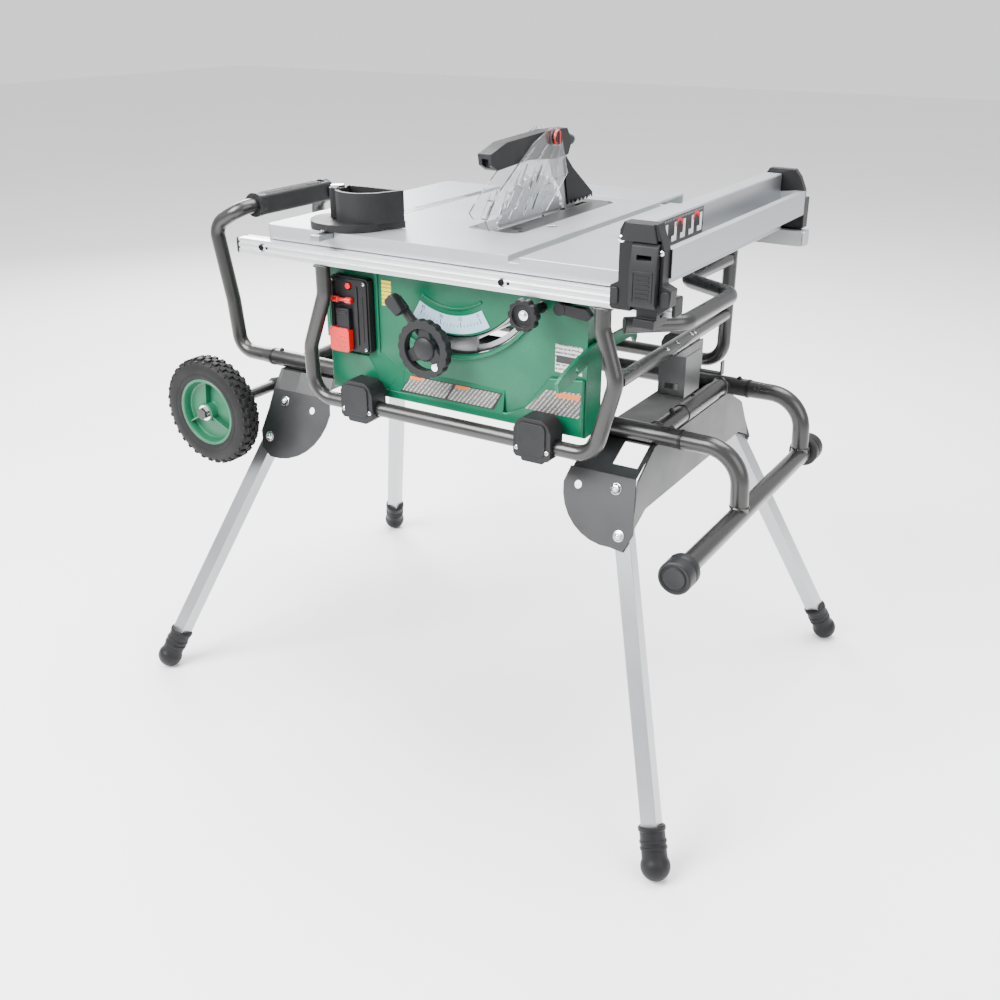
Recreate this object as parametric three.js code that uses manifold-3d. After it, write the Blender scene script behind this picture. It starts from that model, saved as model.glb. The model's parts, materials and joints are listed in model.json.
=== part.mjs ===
// A ten-inch jobsite table saw in its roll cage, on a folding and rolling stand.
// Millimetres. X runs to the operator's right, Y runs to the back, Z is up.
// The origin lies on the floor, under the middle of the stand.
import * as THREE from "three";
import { mergeVertices } from "three/addons/utils/BufferGeometryUtils.js";
import Module from "manifold-3d";

const wasm = await Module();
wasm.setup();

// ---------------------------------------------------------------- driving dimensions
const gap = 0.3; // between pieces that touch
const running = 0.8; // around pieces that turn or slide

const table = { top: 916, width: 730, depth: 558, middleX: 66, plate: 10, skirt: 8, rib: 20 };
const slotWidth = 19.2;
const slotDepth = 9.5;
const slotX = { left: -159, right: 200 };
const edgeY = table.depth / 2; // the table's front and rear edges lie this far from the middle
const throat = { width: 104, frontRoom: 12, back: edgeY - 43, thick: 4, ledge: 7 };

const blade = { radius: 127.5, thick: 2.4, y: 4, arborDrop: 48.5, flange: 24 };
const tilt = { radius: 165, start: -97, full: 45 }; // arc of the handwheel shaft about the tilt axis
const handwheel = { radius: 49, y: -edgeY - 21, shaft: 7 };

const housing = {
  left: -190, right: 316, front: 29 - edgeY, back: edgeY - 29, bottom: 634, wall: 4, cheek: 52, rim: 12,
};
const rail = { front: -edgeY - 17, height: 27, depth: 28, top: 890, left: -350, right: 470 };
const fence = {
  left: 393, width: 32, top: 988, front: -edgeY - 18, back: edgeY - 15, flip: 469, flange: 12, pivotZ: 940,
};
const frame = { tube: 16, z: 625, y: 150, left: -424, right: 441 };
const cage = { tube: 12.7, front: -edgeY - 11, back: edgeY - 7, z: 626 };
const legs = { pivotX: 368, pivotZ: 548, splayX: 192, splayY: 214, square: 27, wall: 2 };
const legPivotY = { left: 176, right: 220 }; // the right pair folds outside the left pair
const foot = { ball: 24, sleeve: 20.5, flat: 1 };
const sheet = 3; // bent sheet of the leg brackets
const bracketRim = { left: 112, right: 95 };
const pin = 5; // radius of the leg pivot pins
const wheel = { x: -478, z: 542, face: 298, radius: 105, rim: 65.5, width: 45, axle: 8 };
const handle = { tube: 14, top: 905, grip: 19 };
const footBar = { tube: 16, x: 545, z: 517, front: -405, back: frame.y + frame.tube + 42, cap: 26 };

// ---------------------------------------------------------------- finishes
function finish(color, roughness, metalness, extra = {}) {
  return new THREE.MeshStandardMaterial({ color, roughness, metalness, flatShading: true, ...extra });
}
const greyPaint = finish(0x4a4845, 0.45, 0.5);
const silver = finish(0xc9cdd2, 0.35, 0.9);
const castTop = finish(0xb9bec4, 0.45, 0.8);
const green = finish(0x0f8058, 0.5, 0.0);
const black = finish(0x1d1d1f, 0.55, 0.0);
const rubber = finish(0x151515, 0.85, 0.0);
const red = finish(0xd8141c, 0.4, 0.0);
const steel = finish(0x9a9da1, 0.3, 1.0);
const clear = finish(0xe8eef2, 0.1, 0.0, { transparent: true, opacity: 0.35 });

// ---------------------------------------------------------------- joining and cutting
function solidOf(geometry) {
  const bare = geometry.clone();
  bare.deleteAttribute("normal");
  bare.deleteAttribute("uv");
  const merged = mergeVertices(bare, 1e-4);
  return new wasm.Manifold(
    new wasm.Mesh({
      numProp: 3,
      vertProperties: merged.attributes.position.array,
      triVerts: new Uint32Array(merged.index.array),
    }),
  );
}

function geometryOf(solid) {
  const { vertProperties, triVerts } = solid.getMesh();
  const geometry = new THREE.BufferGeometry();
  geometry.setAttribute("position", new THREE.BufferAttribute(vertProperties, 3));
  geometry.setIndex(new THREE.BufferAttribute(triVerts, 1));
  return geometry;
}

function join(first, ...others) {
  return geometryOf(others.reduce((sum, other) => sum.add(solidOf(other)), solidOf(first)));
}

function cut(first, ...others) {
  return geometryOf(others.reduce((rest, other) => rest.subtract(solidOf(other)), solidOf(first)));
}

// ---------------------------------------------------------------- placing
const v3 = (x, y, z) => new THREE.Vector3(x, y, z);
const radians = THREE.MathUtils.degToRad;

// Places a shape by the directions of its own axes, turning its faces round if they mirror it.
function framed(geometry, origin, xAxis, yAxis, zAxis) {
  const matrix = new THREE.Matrix4().makeBasis(xAxis, yAxis, zAxis).setPosition(origin);
  const placed = mergeVertices(bareCopy(geometry), 1e-4).applyMatrix4(matrix);
  if (matrix.determinant() < 0) {
    const index = placed.index.array;
    for (let i = 0; i < index.length; i += 3) [index[i + 1], index[i + 2]] = [index[i + 2], index[i + 1]];
  }
  return placed;
}

function bareCopy(geometry) {
  const copy = geometry.clone();
  copy.deleteAttribute("normal");
  copy.deleteAttribute("uv");
  return copy;
}

const xDir = v3(1, 0, 0);
const yDir = v3(0, 1, 0);
const zDir = v3(0, 0, 1);
const mirroredY = (geometry) => framed(geometry, v3(0, 0, 0), xDir, v3(0, -1, 0), zDir);

// ---------------------------------------------------------------- shapes
function block(x0, x1, y0, y1, z0, z1) {
  const box = new THREE.BoxGeometry(x1 - x0, y1 - y0, z1 - z0);
  return box.translate((x0 + x1) / 2, (y0 + y1) / 2, (z0 + z1) / 2);
}

// A rod of a given radius between two points, or a cone if two radii are given.
function rod(from, to, radius, sides = 16, farRadius = radius) {
  const along = to.clone().sub(from);
  const geometry = new THREE.CylinderGeometry(farRadius, radius, along.length(), sides);
  geometry.applyQuaternion(new THREE.Quaternion().setFromUnitVectors(yDir, along.clone().normalize()));
  const middle = from.clone().add(to).multiplyScalar(0.5);
  return geometry.translate(middle.x, middle.y, middle.z);
}

// A turned shape: the profile lists [radius, height] upwards, from the axis back to the axis.
function turned(profile, sides = 24) {
  const points = profile.map(([r, h]) => new THREE.Vector2(r, h));
  return new THREE.LatheGeometry(points, sides).rotateX(Math.PI / 2);
}

function outline(points) {
  return new THREE.Shape(points.map(([x, y]) => new THREE.Vector2(x, y)));
}

function roundedOutline(x0, x1, y0, y1, radius, steps = 4) {
  const corners = [[x1 - radius, y1 - radius, 0], [x0 + radius, y1 - radius, 90],
    [x0 + radius, y0 + radius, 180], [x1 - radius, y0 + radius, 270]];
  const points = [];
  for (const [cx, cy, start] of corners)
    for (let i = 0; i <= steps; i++) {
      const angle = radians(start + (90 * i) / steps);
      points.push([cx + radius * Math.cos(angle), cy + radius * Math.sin(angle)]);
    }
  return outline(points);
}

// Points of an arc in degrees.
function arcPoints(cx, cy, radius, from, to, steps) {
  return Array.from({ length: steps + 1 }, (_, i) => {
    const angle = radians(from + ((to - from) * i) / steps);
    return [cx + radius * Math.cos(angle), cy + radius * Math.sin(angle)];
  });
}

const slab = (shape, thick) => new THREE.ExtrudeGeometry(shape, { depth: thick, bevelEnabled: false });
// An outline drawn in X and Z, between two places along Y.
const frontSlab = (shape, y0, y1) => framed(slab(shape, y1 - y0), v3(0, y0, 0), xDir, zDir, yDir);
// An outline drawn in Y and Z, between two places along X.
const sideSlab = (shape, x0, x1) => framed(slab(shape, x1 - x0), v3(x0, 0, 0), yDir, zDir, xDir);
// An outline drawn in X and Y, between two heights.
const flatSlab = (shape, z0, z1) => slab(shape, z1 - z0).translate(0, 0, z0);

// A path of straight runs with round bends; its stations lie only where the direction changes.
class BentPath extends THREE.Curve {
  constructor(points, bend, chord = 30) {
    super();
    this.stations = [points[0]];
    for (let i = 1; i < points.length - 1; i++)
      this.addBend(points[i - 1], points[i], points[i + 1], bend, chord);
    this.stations.push(points[points.length - 1]);
  }

  addBend(before, corner, after, bend, chord) {
    const into = corner.clone().sub(before).normalize();
    const out = after.clone().sub(corner).normalize();
    const turn = into.angleTo(out);
    if (turn < 0.02) return;
    const back = bend * Math.tan(turn / 2);
    const side = out.clone().sub(into.clone().multiplyScalar(into.dot(out))).normalize();
    const start = corner.clone().addScaledVector(into, -back);
    const centre = start.clone().addScaledVector(side, bend);
    const steps = Math.max(1, Math.ceil(THREE.MathUtils.radToDeg(turn) / chord));
    for (let i = 0; i <= steps; i++) {
      const angle = (turn * i) / steps;
      this.stations.push(centre.clone().addScaledVector(side, -bend * Math.cos(angle))
        .addScaledVector(into, bend * Math.sin(angle)));
    }
  }

  getPoint(t) {
    const place = Math.min(Math.max(t, 0), 1) * (this.stations.length - 1);
    const i = Math.min(Math.floor(place), this.stations.length - 2);
    return this.stations[i].clone().lerp(this.stations[i + 1], place - i);
  }

  getPointAt(u) {
    return this.getPoint(u);
  }

  getTangentAt(u) {
    return this.getTangent(u);
  }
}

function bentTube(points, radius, bend, sides = 12) {
  const path = new BentPath(points, bend);
  const section = outline(arcPoints(0, 0, radius, 0, 360 - 360 / sides, sides - 1));
  const steps = path.stations.length - 1;
  return new THREE.ExtrudeGeometry(section, { steps, extrudePath: path, bevelEnabled: false });
}

// ---------------------------------------------------------------- the assembly
const tableSaw = new THREE.Group();
tableSaw.name = "table_saw";

function add(name, geometry, material, parent = tableSaw) {
  const shown = geometry.index ? geometry.toNonIndexed() : geometry;
  shown.computeVertexNormals();
  const mesh = new THREE.Mesh(shown, material);
  mesh.name = name;
  parent.add(mesh);
  return mesh;
}

// ---------------------------------------------------------------- stand
const frontRear = [["front", -1], ["rear", 1]];
const leftRight = [["left", -1], ["right", 1]];

function standFrame() {
  const ends = (y) => [v3(frame.left, y, frame.z), v3(frame.right, y, frame.z)];
  const rails = [-frame.y, frame.y].map((y) => rod(...ends(y), frame.tube, 20));
  const crossX = [frame.right - 51, frame.left + 74];
  const crosses = crossX.map((x) => rod(v3(x, -frame.y, frame.z), v3(x, frame.y, frame.z),
      frame.tube - 1, 16));
  return join(...rails, ...crosses);
}

// Half of the carrying handle's route, from the stand rail up to the grip.
function handleRoute(side) {
  const y = side * frame.y;
  return [v3(frame.left - gap, y, frame.z), v3(-510, y, frame.z), v3(-520, y, 724),
    v3(-550, y, 868), v3(-486, side * (frame.y - 10), handle.top)];
}

function handleTube() {
  return bentTube([...handleRoute(-1), ...handleRoute(1).reverse()], handle.tube, 34, 12);
}

function handleGrip() {
  const x = handleRoute(-1)[4].x;
  const long = frame.y - 46;
  const half = handle.grip;
  const section = roundedOutline(x - half, x + half, handle.top - half, handle.top + half, 6, 3);
  const body = frontSlab(section, -long, long);
  const collars = [-1, 1].map((side) =>
    rod(v3(x, side * (long - 12), handle.top), v3(x, side * (long + 3), handle.top), half + 4, 20));
  const bore = rod(v3(x, -long - 9, handle.top), v3(x, long + 9, handle.top), handle.tube + gap, 24);
  return cut(join(body, ...collars), bore);
}

function footBarTube() {
  const capWall = 12; // the caps close over the bar's ends
  const bar = rod(v3(footBar.x, footBar.front + capWall, footBar.z),
    v3(footBar.x, footBar.back - capWall, footBar.z), footBar.tube, 20);
  const arms = [-1, 1].map((side) => {
    const y = side * frame.y;
    const corner = v3(footBar.x - 5, y, frame.z);
    const route = [v3(frame.right + gap, y, frame.z), corner, v3(footBar.x, y, footBar.z)];
    return bentTube(route, frame.tube - 1, 60, 16);
  });
  return join(bar, ...arms);
}

function footBarCap() {
  const depth = 40;
  const r = footBar.cap;
  const shell = turned([[0, 0], [r - 9, 0], [r - 9, 3], [r - 5, 3], [r - 3, 0], [r, 3], [r, depth - 4],
    [r - 4, depth], [0, depth]], 24);
  const socket = rod(v3(0, 0, 12 - gap), v3(0, 0, depth + 5), footBar.tube + gap, 24);
  return cut(shell, socket);
}

// ---------------------------------------------------------------- folding legs
// Each leg swings in a plane that leans outwards; u points to the stand's end, v down the plane.
const ballZ = foot.ball - foot.flat; // height of the foot's ball centre above the floor
const lean = Math.atan(legs.splayY / (legs.pivotZ - ballZ));
const slope = Math.hypot(legs.splayY, legs.pivotZ - ballZ);
const legAngle = Math.atan(legs.splayX / slope);
const legLong = Math.hypot(legs.splayX, slope);
const half = legs.square / 2;
const plateIn = half + gap; // from the leg's middle to its bracket plate

function station(sideX, sideY) {
  const u = v3(sideX, 0, 0);
  const v = v3(0, sideY * Math.sin(lean), -Math.cos(lean));
  const out = v3(0, sideY * Math.cos(lean), Math.sin(lean));
  const pivotY = sideX < 0 ? legPivotY.left : legPivotY.right;
  return { origin: v3(sideX * legs.pivotX, sideY * pivotY, legs.pivotZ), u, v, out, pivotY };
}

const atStation = (geometry, s) => framed(geometry, s.origin, s.u, s.v, s.out);

function legTube(s) {
  const across = v3(Math.cos(legAngle), -Math.sin(legAngle), 0);
  const along = v3(Math.sin(legAngle), Math.cos(legAngle), 0);
  const end = legLong - foot.ball + 6;
  const inner = half - legs.wall;
  const outer = block(-half, half, 1 - half, end, -half, half);
  const hollow = block(-inner, inner, -half - 9, end + 9, -inner, inner);
  const bore = rod(v3(0, 0, -half - 5), v3(0, 0, half + 5), pin + 0.4, 16);
  const bar = cut(outer, hollow, bore);
  return atStation(framed(bar, v3(0, 0, 0), across, along, zDir), s);
}

function legFoot(s) {
  const r = foot.ball;
  const sleeveTop = -64;
  const profile = [...arcPoints(0, 0, r, -90, 30, 6).map(([x, y]) => [Math.max(x, 0), y]),
    [foot.sleeve, r * 0.72], [foot.sleeve, -sleeveTop - 12], [foot.sleeve + 1.5, -sleeveTop - 8],
    [foot.sleeve, -sleeveTop], [0, -sleeveTop]];
  profile[0][0] = 0;
  const body = turned(profile, 18);
  const socket = half + gap;
  const pocket = block(-socket, socket, -socket, socket, r - 6 - gap, 90);
  const boot = cut(body, pocket);
  const along = v3(-Math.sin(legAngle), -Math.cos(legAngle), 0);
  const across = v3(Math.cos(legAngle), -Math.sin(legAngle), 0);
  const ball = v3(0, 0, 0).addScaledVector(along, -legLong);
  const placed = atStation(framed(boot, ball, across, zDir, along), s);
  return cut(placed, block(-900, 900, -900, 900, -80, 0));
}

// The outline of a bracket's swing plate: a quarter disc about the pivot and a corner for the lock.
const plateTop = 21;
function swingPlate(rim) {
  return outline([...arcPoints(0, 0, rim, 176, 84, 8), [33, 97], [45, 66], [30, -plateTop],
      [-rim + 8, -plateTop]]);
}

function legBracket(sideX, rim) {
  const top = frame.z - frame.tube - gap;
  const stations = [-1, 1].map((sideY) => station(sideX, sideY));
  const bolt = 9;
  const plates = stations.flatMap((s) => {
    const plate = cut(slab(swingPlate(rim), sheet).translate(0, 0, plateIn),
      rod(v3(-68, 7, 0), v3(-68, 7, 40), 7, 14));
    const stud = join(rod(v3(0, 0, -half - 4), v3(0, 0, plateIn + sheet + 3), pin, 12),
      rod(v3(0, 0, plateIn + 1), v3(0, 0, plateIn + sheet + 4), bolt, 6));
    return [atStation(join(plate, stud), s)];
  });
  const endRoom = 29.2; // from the pivot to the saddle's outer end
  const spread = [legs.pivotX + endRoom, legs.pivotX - rim + 11].map((x) => sideX * x).sort((p, q) => p - q);
  const s = stations[1];
  const shoulder = (inset) =>
    s.origin.clone().addScaledVector(s.v, 2 - plateTop).addScaledVector(s.out, plateIn + inset);
  const [inner, outer] = [shoulder(0.5), shoulder(sheet - 0.4)];
  const crown = frame.y + 12;
  const hat = outline([[-inner.y, inner.z], [-crown, top - sheet], [crown, top - sheet], [inner.y, inner.z],
    [outer.y, outer.z], [crown + 2, top], [-crown - 2, top], [-outer.y, outer.z]]);
  const window = block(sideX * legs.pivotX - 22, sideX * legs.pivotX + 22, -crown - 45, 2 - crown,
      top - 60, top + 9);
  const saddle = cut(sideSlab(hat, ...spread), window, mirroredY(window));
  const edge = (v) => s.origin.clone().addScaledVector(s.v, v).addScaledVector(s.out, plateIn + sheet / 2);
  const [high, low] = [edge(3 - plateTop), edge(64)];
  const endPlate = outline([[-crown, 0], [crown, 0], [high.y, top - 1 - high.z], [low.y, top - 1 - low.z],
    [low.y - 52, top - 23 - low.z], [52 - low.y, top - 23 - low.z], [-low.y, top - 1 - low.z],
    [-high.y, top - 1 - high.z]]);
  const tip = v3(12 * sideX, 0, low.z - top).normalize();
  const panel = framed(slab(endPlate, sheet), v3(sideX * (legs.pivotX + endRoom - 1.5), 0, top - 1),
      yDir, tip,
    v3(sideX, 0, 0));
  return join(plates[0], plates[1], saddle, panel);
}

// ---------------------------------------------------------------- wheels
// The axle tube with its two carrier plates, which end at the left bracket's end panel.
function wheelFrame() {
  const inside = wheel.face - wheel.width - running;
  const tube = rod(v3(wheel.x, -inside, wheel.z), v3(wheel.x, inside, wheel.z), wheel.axle + 3, 16);
  const reach = legs.pivotX + 30 + 15 + sheet + gap;
  const carrier = outline([...arcPoints(wheel.x, wheel.z, wheel.axle + 8, 90, 270, 6),
    [-reach, wheel.z - 30], [-reach, wheel.z + 34]]);
  const carriers = [-100, 100].map((y) => frontSlab(carrier, y - 2, y + 2));
  const stubs = [-1, 1].map((side) => rod(v3(wheel.x, side * (inside - 1), wheel.z),
    v3(wheel.x, side * (wheel.face + 4), wheel.z), wheel.axle, 16));
  const nuts = [-1, 1].map((side) => rod(v3(wheel.x, side * (wheel.face + 1), wheel.z),
    v3(wheel.x, side * (wheel.face + 10), wheel.z), 12, 6));
  return join(tube, ...carriers, ...stubs, ...nuts);
}

// Turned about Z with the outer face at height 0 and the wheel below it.
function wheelRim() {
  const w = wheel.width;
  const r = wheel.rim;
  const hub = 19;
  const profile = [[0, 1 - w], [hub, 1 - w], [hub, -28], [r - 8, -28], [r - 6, 3 - w], [r, 3 - w], [r, -3],
    [r - 6, -3], [r - 9, -20], [hub, -14], [hub - 2, -1], [0, -1]];
  const spokes = [90, 210, 330].map((angle) => {
    const rib = block(hub - 4, r - 4, -2.5, 2.5, -24, -8);
    return rib.rotateZ(radians(angle));
  });
  const bore = rod(v3(0, 0, -w - 5), v3(0, 0, 5), wheel.axle + running, 20);
  return cut(join(turned(profile, 32), ...spokes), bore);
}

function wheelTyre() {
  const w = wheel.width;
  const r = wheel.radius;
  const inner = wheel.rim + gap;
  const tread = [[inner, -w + 4], [r - 22, -w], [r - 6, -w + 5], [r, -w + 14], [r, -14], [r - 6, -5],
      [r - 22, 0],
    [inner, -4], [inner, -w + 4]];
  return turned(tread, 32);
}

// ---------------------------------------------------------------- building the stand
add("stand_frame", standFrame(), greyPaint);
add("handle_tube", handleTube(), greyPaint);
add("handle_grip", handleGrip(), black);
add("foot_bar", footBarTube(), greyPaint);
for (const [end, side] of frontRear) {
  const cap = add(`foot_bar_cap_${end}`, footBarCap(), black);
  cap.position.set(footBar.x, side < 0 ? footBar.front : footBar.back, footBar.z);
  cap.rotation.x = side < 0 ? -Math.PI / 2 : Math.PI / 2;
}
add("leg_bracket_left", legBracket(-1, bracketRim.left), greyPaint);
add("leg_bracket_right", legBracket(1, bracketRim.right), greyPaint);
for (const [end, sideY] of frontRear)
  for (const [hand, sideX] of leftRight) {
    const place = station(sideX, sideY);
    add(`leg_${end}_${hand}`, legTube(place), silver);
    add(`leg_foot_${end}_${hand}`, legFoot(place), rubber);
  }
add("wheel_frame", wheelFrame(), greyPaint);
for (const [end, side] of frontRear) {
  const hub = new THREE.Group();
  hub.position.set(wheel.x, side * wheel.face, wheel.z);
  hub.rotation.x = side < 0 ? Math.PI / 2 : -Math.PI / 2;
  tableSaw.add(hub);
  add(`wheel_rim_${end}`, wheelRim(), green, hub);
  add(`wheel_tyre_${end}`, wheelTyre(), rubber, hub);
}

// ---------------------------------------------------------------- roll cage
const railBottom = rail.top - rail.height;
const cageTop = railBottom - running;

function cageFront() {
  const at = (x, z) => v3(x, cage.front, z);
  return bentTube([at(-168, cageTop), at(-168, 812), at(-205, 716), at(-203, cage.z), at(352, cage.z),
    at(386, 750), at(360, 830), at(360, cageTop)], cage.tube, 40, 12);
}

const sideBar = [v3(382, cage.front + cage.tube + 2, 748), v3(340, cage.back, 722)];

// The rear loop carries the side bar and the bowed lifting bar, which are welded to it.
function cageRear() {
  const at = (x, z) => v3(x, cage.back, z);
  const loop = bentTube([at(-168, cageTop), at(-168, 812), at(-205, 716), at(-203, cage.z), at(340, cage.z),
    at(340, cageTop)], cage.tube, 40, 12);
  const liftingBar = bentTube([v3(376, cage.front + 40, 828), v3(447, cage.front + 100, 828),
    v3(447, 10, 828), v3(336, 70, 828),
    v3(340, cage.back, 828)], cage.tube, 40, 12);
  return join(loop, rod(...sideBar, cage.tube - 1, 12), liftingBar);
}

// A sheet bracket saddled on the side bar: a square pocket and a hook for the stored guard.
function storageBracket() {
  const x = 380;
  const [front, back, top] = [-67, -3, 734];
  const pocket = cut(block(x - 24, x + 24, front, back, top - 70, top),
    block(x - 21, x + 21, front + sheet, back + 9, top - 67, top + 9));
  const strip = block(x - 1.5, x + 1.5, front + 1, 60, top - 18, top - 2);
  const hanger = block(x - 1.5, x + 1.5, 44, 60, top - 58, top - 2);
  const hook = join(block(x - 1.5, x + 44, 46, 58, top - 58, top - 55),
    block(x + 41, x + 44, 46, 58, top - 58, top - 34));
  return cut(join(pocket, strip, hanger, hook), rod(...sideBar, cage.tube - 1 + gap, 12));
}

// A moulded clamp round the bottom tube of the cage, turned about the tube's axis at the origin.
function cageClamp() {
  const body = frontSlab(roundedOutline(-34, 34, -19, 48, 13, 3), -21, 21);
  const lip = frontSlab(roundedOutline(-22, 22, -26, -12, 5, 2), -19, 12);
  return cut(join(body, lip), rod(v3(-60, 0, 0), v3(60, 0, 0), cage.tube + gap, 24));
}

add("cage_front", cageFront(), greyPaint);
add("cage_rear", cageRear(), greyPaint);
add("storage_bracket", storageBracket(), greyPaint);
for (const [end, y] of [["front", cage.front], ["rear", cage.back]])
  for (const [hand, x] of [["left", -95], ["right", 253]])
    add(`cage_clamp_${end}_${hand}`, cageClamp(), black).position.set(x, y, cage.z);

// ---------------------------------------------------------------- housing and table
const tableLeft = table.middleX - table.width / 2;
const tableRight = table.middleX + table.width / 2;
const tableEdgeZ = rail.top + running;
const ribZ = table.top - table.rib;
const pivotX = table.middleX; // the blade tilts about this line in the table's surface

function arcBand(inner, outer, from, to, steps) {
  return outline([...arcPoints(pivotX, table.top, outer, from, to, steps),
    ...arcPoints(pivotX, table.top, inner, to, from, steps)]);
}

function sawHousing() {
  const h = housing;
  const top = ribZ - gap;
  const shell = cut(block(h.left, h.right, h.front, h.back, h.bottom, top),
    block(h.left + h.wall, h.right - h.wall, h.front + h.wall, h.back - h.wall, h.bottom - 9, top + 9));
  // behind the front panel the body is open on the right, under a rim that carries the table
  const opening = block(pivotX + 44, h.right + 9, h.front + h.cheek, h.back + 9, h.bottom - 9, top - h.rim);
  const slot = frontSlab(arcBand(tilt.radius - 15, tilt.radius + 15, -108, -36, 16), h.front - 9,
      h.front + 30);
  const railRoom = frame.tube + 4;
  const notches = [-1, 1].map((side) => block(h.left - 30, h.right + 30, side * frame.y - railRoom,
    side * frame.y + railRoom, h.bottom - 30, frame.z + railRoom));
  const knobBore = rod(v3(railKnob.x, h.front - 9, railKnob.z), v3(railKnob.x, h.front + 9, railKnob.z),
      9, 16);
  const portBore = rod(v3(pivotX, h.back - 30, 720), v3(pivotX, h.back + 60, 720), 28, 20);
  const port = rod(v3(pivotX, h.back - 1, 720), v3(pivotX, h.back + 42, 720), 32, 20);
  const hook = join(block(h.left - 40, h.left + 1, -214, -190, 722, 734),
    block(h.left - 40, h.left - 32, -214, -190, 712, 776));
  return cut(join(cut(shell, opening), port, hook), slot, ...notches, knobBore, portBore);
}

function tableTop() {
  const [x0, x1, y0, y1] = [tableLeft, tableRight, -edgeY, edgeY];
  const solid = flatSlab(roundedOutline(x0, x1, y0, y1, 12, 3), tableEdgeZ, table.top);
  const s = table.skirt;
  const pocket = block(x0 + s, x1 - s, y0 + s, y1 - s, tableEdgeZ - 9, table.top - table.plate);
  const slots = Object.values(slotX);
  const ribs = slots.map((x) =>
    block(x - 20, x + 20, y0 + s - 1, y1 - s + 1, ribZ, table.top - table.plate + 1));
  const grooves = slots.map((x) =>
    block(x - slotWidth / 2, x + slotWidth / 2, y0 - 9, y1 + 9, table.top - slotDepth, table.top + 9));
  const t = throat;
  const seat = flatSlab(throatOutline(0), table.top - t.thick, table.top + 9);
  const opening = flatSlab(throatOutline(-t.ledge), table.top - 60, table.top + 9);
  const holeX = table.middleX + throat.width / 2 + 15; // finger hole beside the throat
  const hole = rod(v3(holeX, -40, table.top - 30), v3(holeX, -40, table.top + 9), 9, 16);
  return cut(join(cut(solid, pocket), ...ribs), ...grooves, seat, opening, hole);
}

// Half of the blade's chord at a height above or below the table's surface.
function bladeChord(height) {
  return Math.sqrt(blade.radius ** 2 - (blade.arborDrop + height) ** 2);
}

function throatOutline(grow) {
  const t = throat;
  const halfWidth = t.width / 2 + grow;
  const front = blade.y - bladeChord(-table.plate) - t.frontRoom;
  const [x0, x1] = [table.middleX - halfWidth, table.middleX + halfWidth];
  return roundedOutline(x0, x1, front - grow, t.back + grow, 16 + grow, 3);
}

function throatPlate() {
  const plate = flatSlab(throatOutline(-gap), table.top - throat.thick + gap, table.top);
  const front = blade.y - bladeChord(0) - 6;
  const slot = block(pivotX - 4, pivotX + 8, front, pawl.slotBack, table.top - 20, table.top + 9);
  return cut(plate, slot);
}

// The channel bolted to the table's rear edge.
function rearExtension() {
  const y0 = edgeY + gap;
  const y1 = y0 + 112;
  const top = table.top;
  const section = outline([[y0, tableEdgeZ], [y0 + 4, tableEdgeZ], [y0 + 4, top - 4], [y1 - 4, top - 4],
    [y1 - 4, tableEdgeZ], [y1, tableEdgeZ], [y1, top], [y0, top]]);
  return sideSlab(section, -140, 188);
}

// ---------------------------------------------------------------- rails
const railKnob = { x: 235, z: 836, radius: 26 };

// An extruded rail with two grooves along its outer face; side is -1 at the front.
function railBar(side) {
  const outer = -rail.front;
  const inner = outer - rail.depth;
  const [z0, z1] = [railBottom, rail.top];
  const section = [[inner, z0], [outer, z0], [outer, z0 + 8], [outer - 2, z0 + 9], [outer - 2, z0 + 11],
    [outer, z0 + 12], [outer, z0 + 18], [outer - 2, z0 + 19], [outer - 2, z0 + 21], [outer, z0 + 22],
    [outer, z1], [inner + 9, z1], [inner + 9, z1 - 6], [inner + 5, z1 - 6], [inner + 5, z1], [inner, z1]];
  const bar = sideSlab(outline(section), rail.left, rail.right);
  return side > 0 ? bar : mirroredY(bar);
}

function railAdjustingKnob() {
  const y0 = rail.front - 1.5;
  const at = (y) => v3(railKnob.x, y, railKnob.z);
  const grips = Array.from({ length: 12 }, (_, i) => {
    const angle = radians(30 * i);
    const x = railKnob.x + railKnob.radius * Math.cos(angle);
    const z = railKnob.z + railKnob.radius * Math.sin(angle);
    return rod(v3(x, y0 - 20, z), v3(x, y0 + 5, z), 2.4, 6);
  });
  const disc = cut(rod(at(y0 - 15), at(y0), railKnob.radius, 24), ...grips);
  const cup = cut(disc, rod(at(y0 - 20), at(y0 - 9), railKnob.radius - 6, 20));
  return join(cup, rod(at(y0 - 16), at(y0 - 6), 8, 6), rod(at(y0 - 2), at(housing.front + 16), 8, 16));
}

const lockLever = { x: 282, z: 846, y: housing.front - 26 };
function railLockLever() {
  const at = (y) => v3(lockLever.x, y, lockLever.z);
  const arm = frontSlab(outline([[lockLever.x, lockLever.z - 7], [lockLever.x + 46, lockLever.z - 12],
    [lockLever.x + 54, lockLever.z - 4], [lockLever.x + 46, lockLever.z + 6],
    [lockLever.x, lockLever.z + 8]]),
    lockLever.y - 6, lockLever.y + 6);
  const hub = rod(at(lockLever.y - 7), at(lockLever.y + 7), 10, 16);
  return join(hub, rod(at(lockLever.y), at(housing.front - gap), 6, 12), arm);
}

// ---------------------------------------------------------------- fence
const fenceMid = fence.left + fence.width / 2;
const armThick = 4;
const armGap = 0.6;

function fenceBeam() {
  const [x0, x1, z0, z1] = [fence.left, fence.left + fence.width, table.top + 1.2, fence.top];
  const outer = outline([[x0, z0], [x1, z0], [x1, z1 - 2], [x1 - 2, z1], [x0 + 2, z1], [x0, z1 - 2]]);
  const wall = 2.5;
  const hollow = block(x0 + wall, x1 - wall, fence.front - 9, fence.back + 9, z0 + wall, z1 - wall);
  return cut(frontSlab(outer, fence.front, fence.back), hollow);
}

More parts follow.
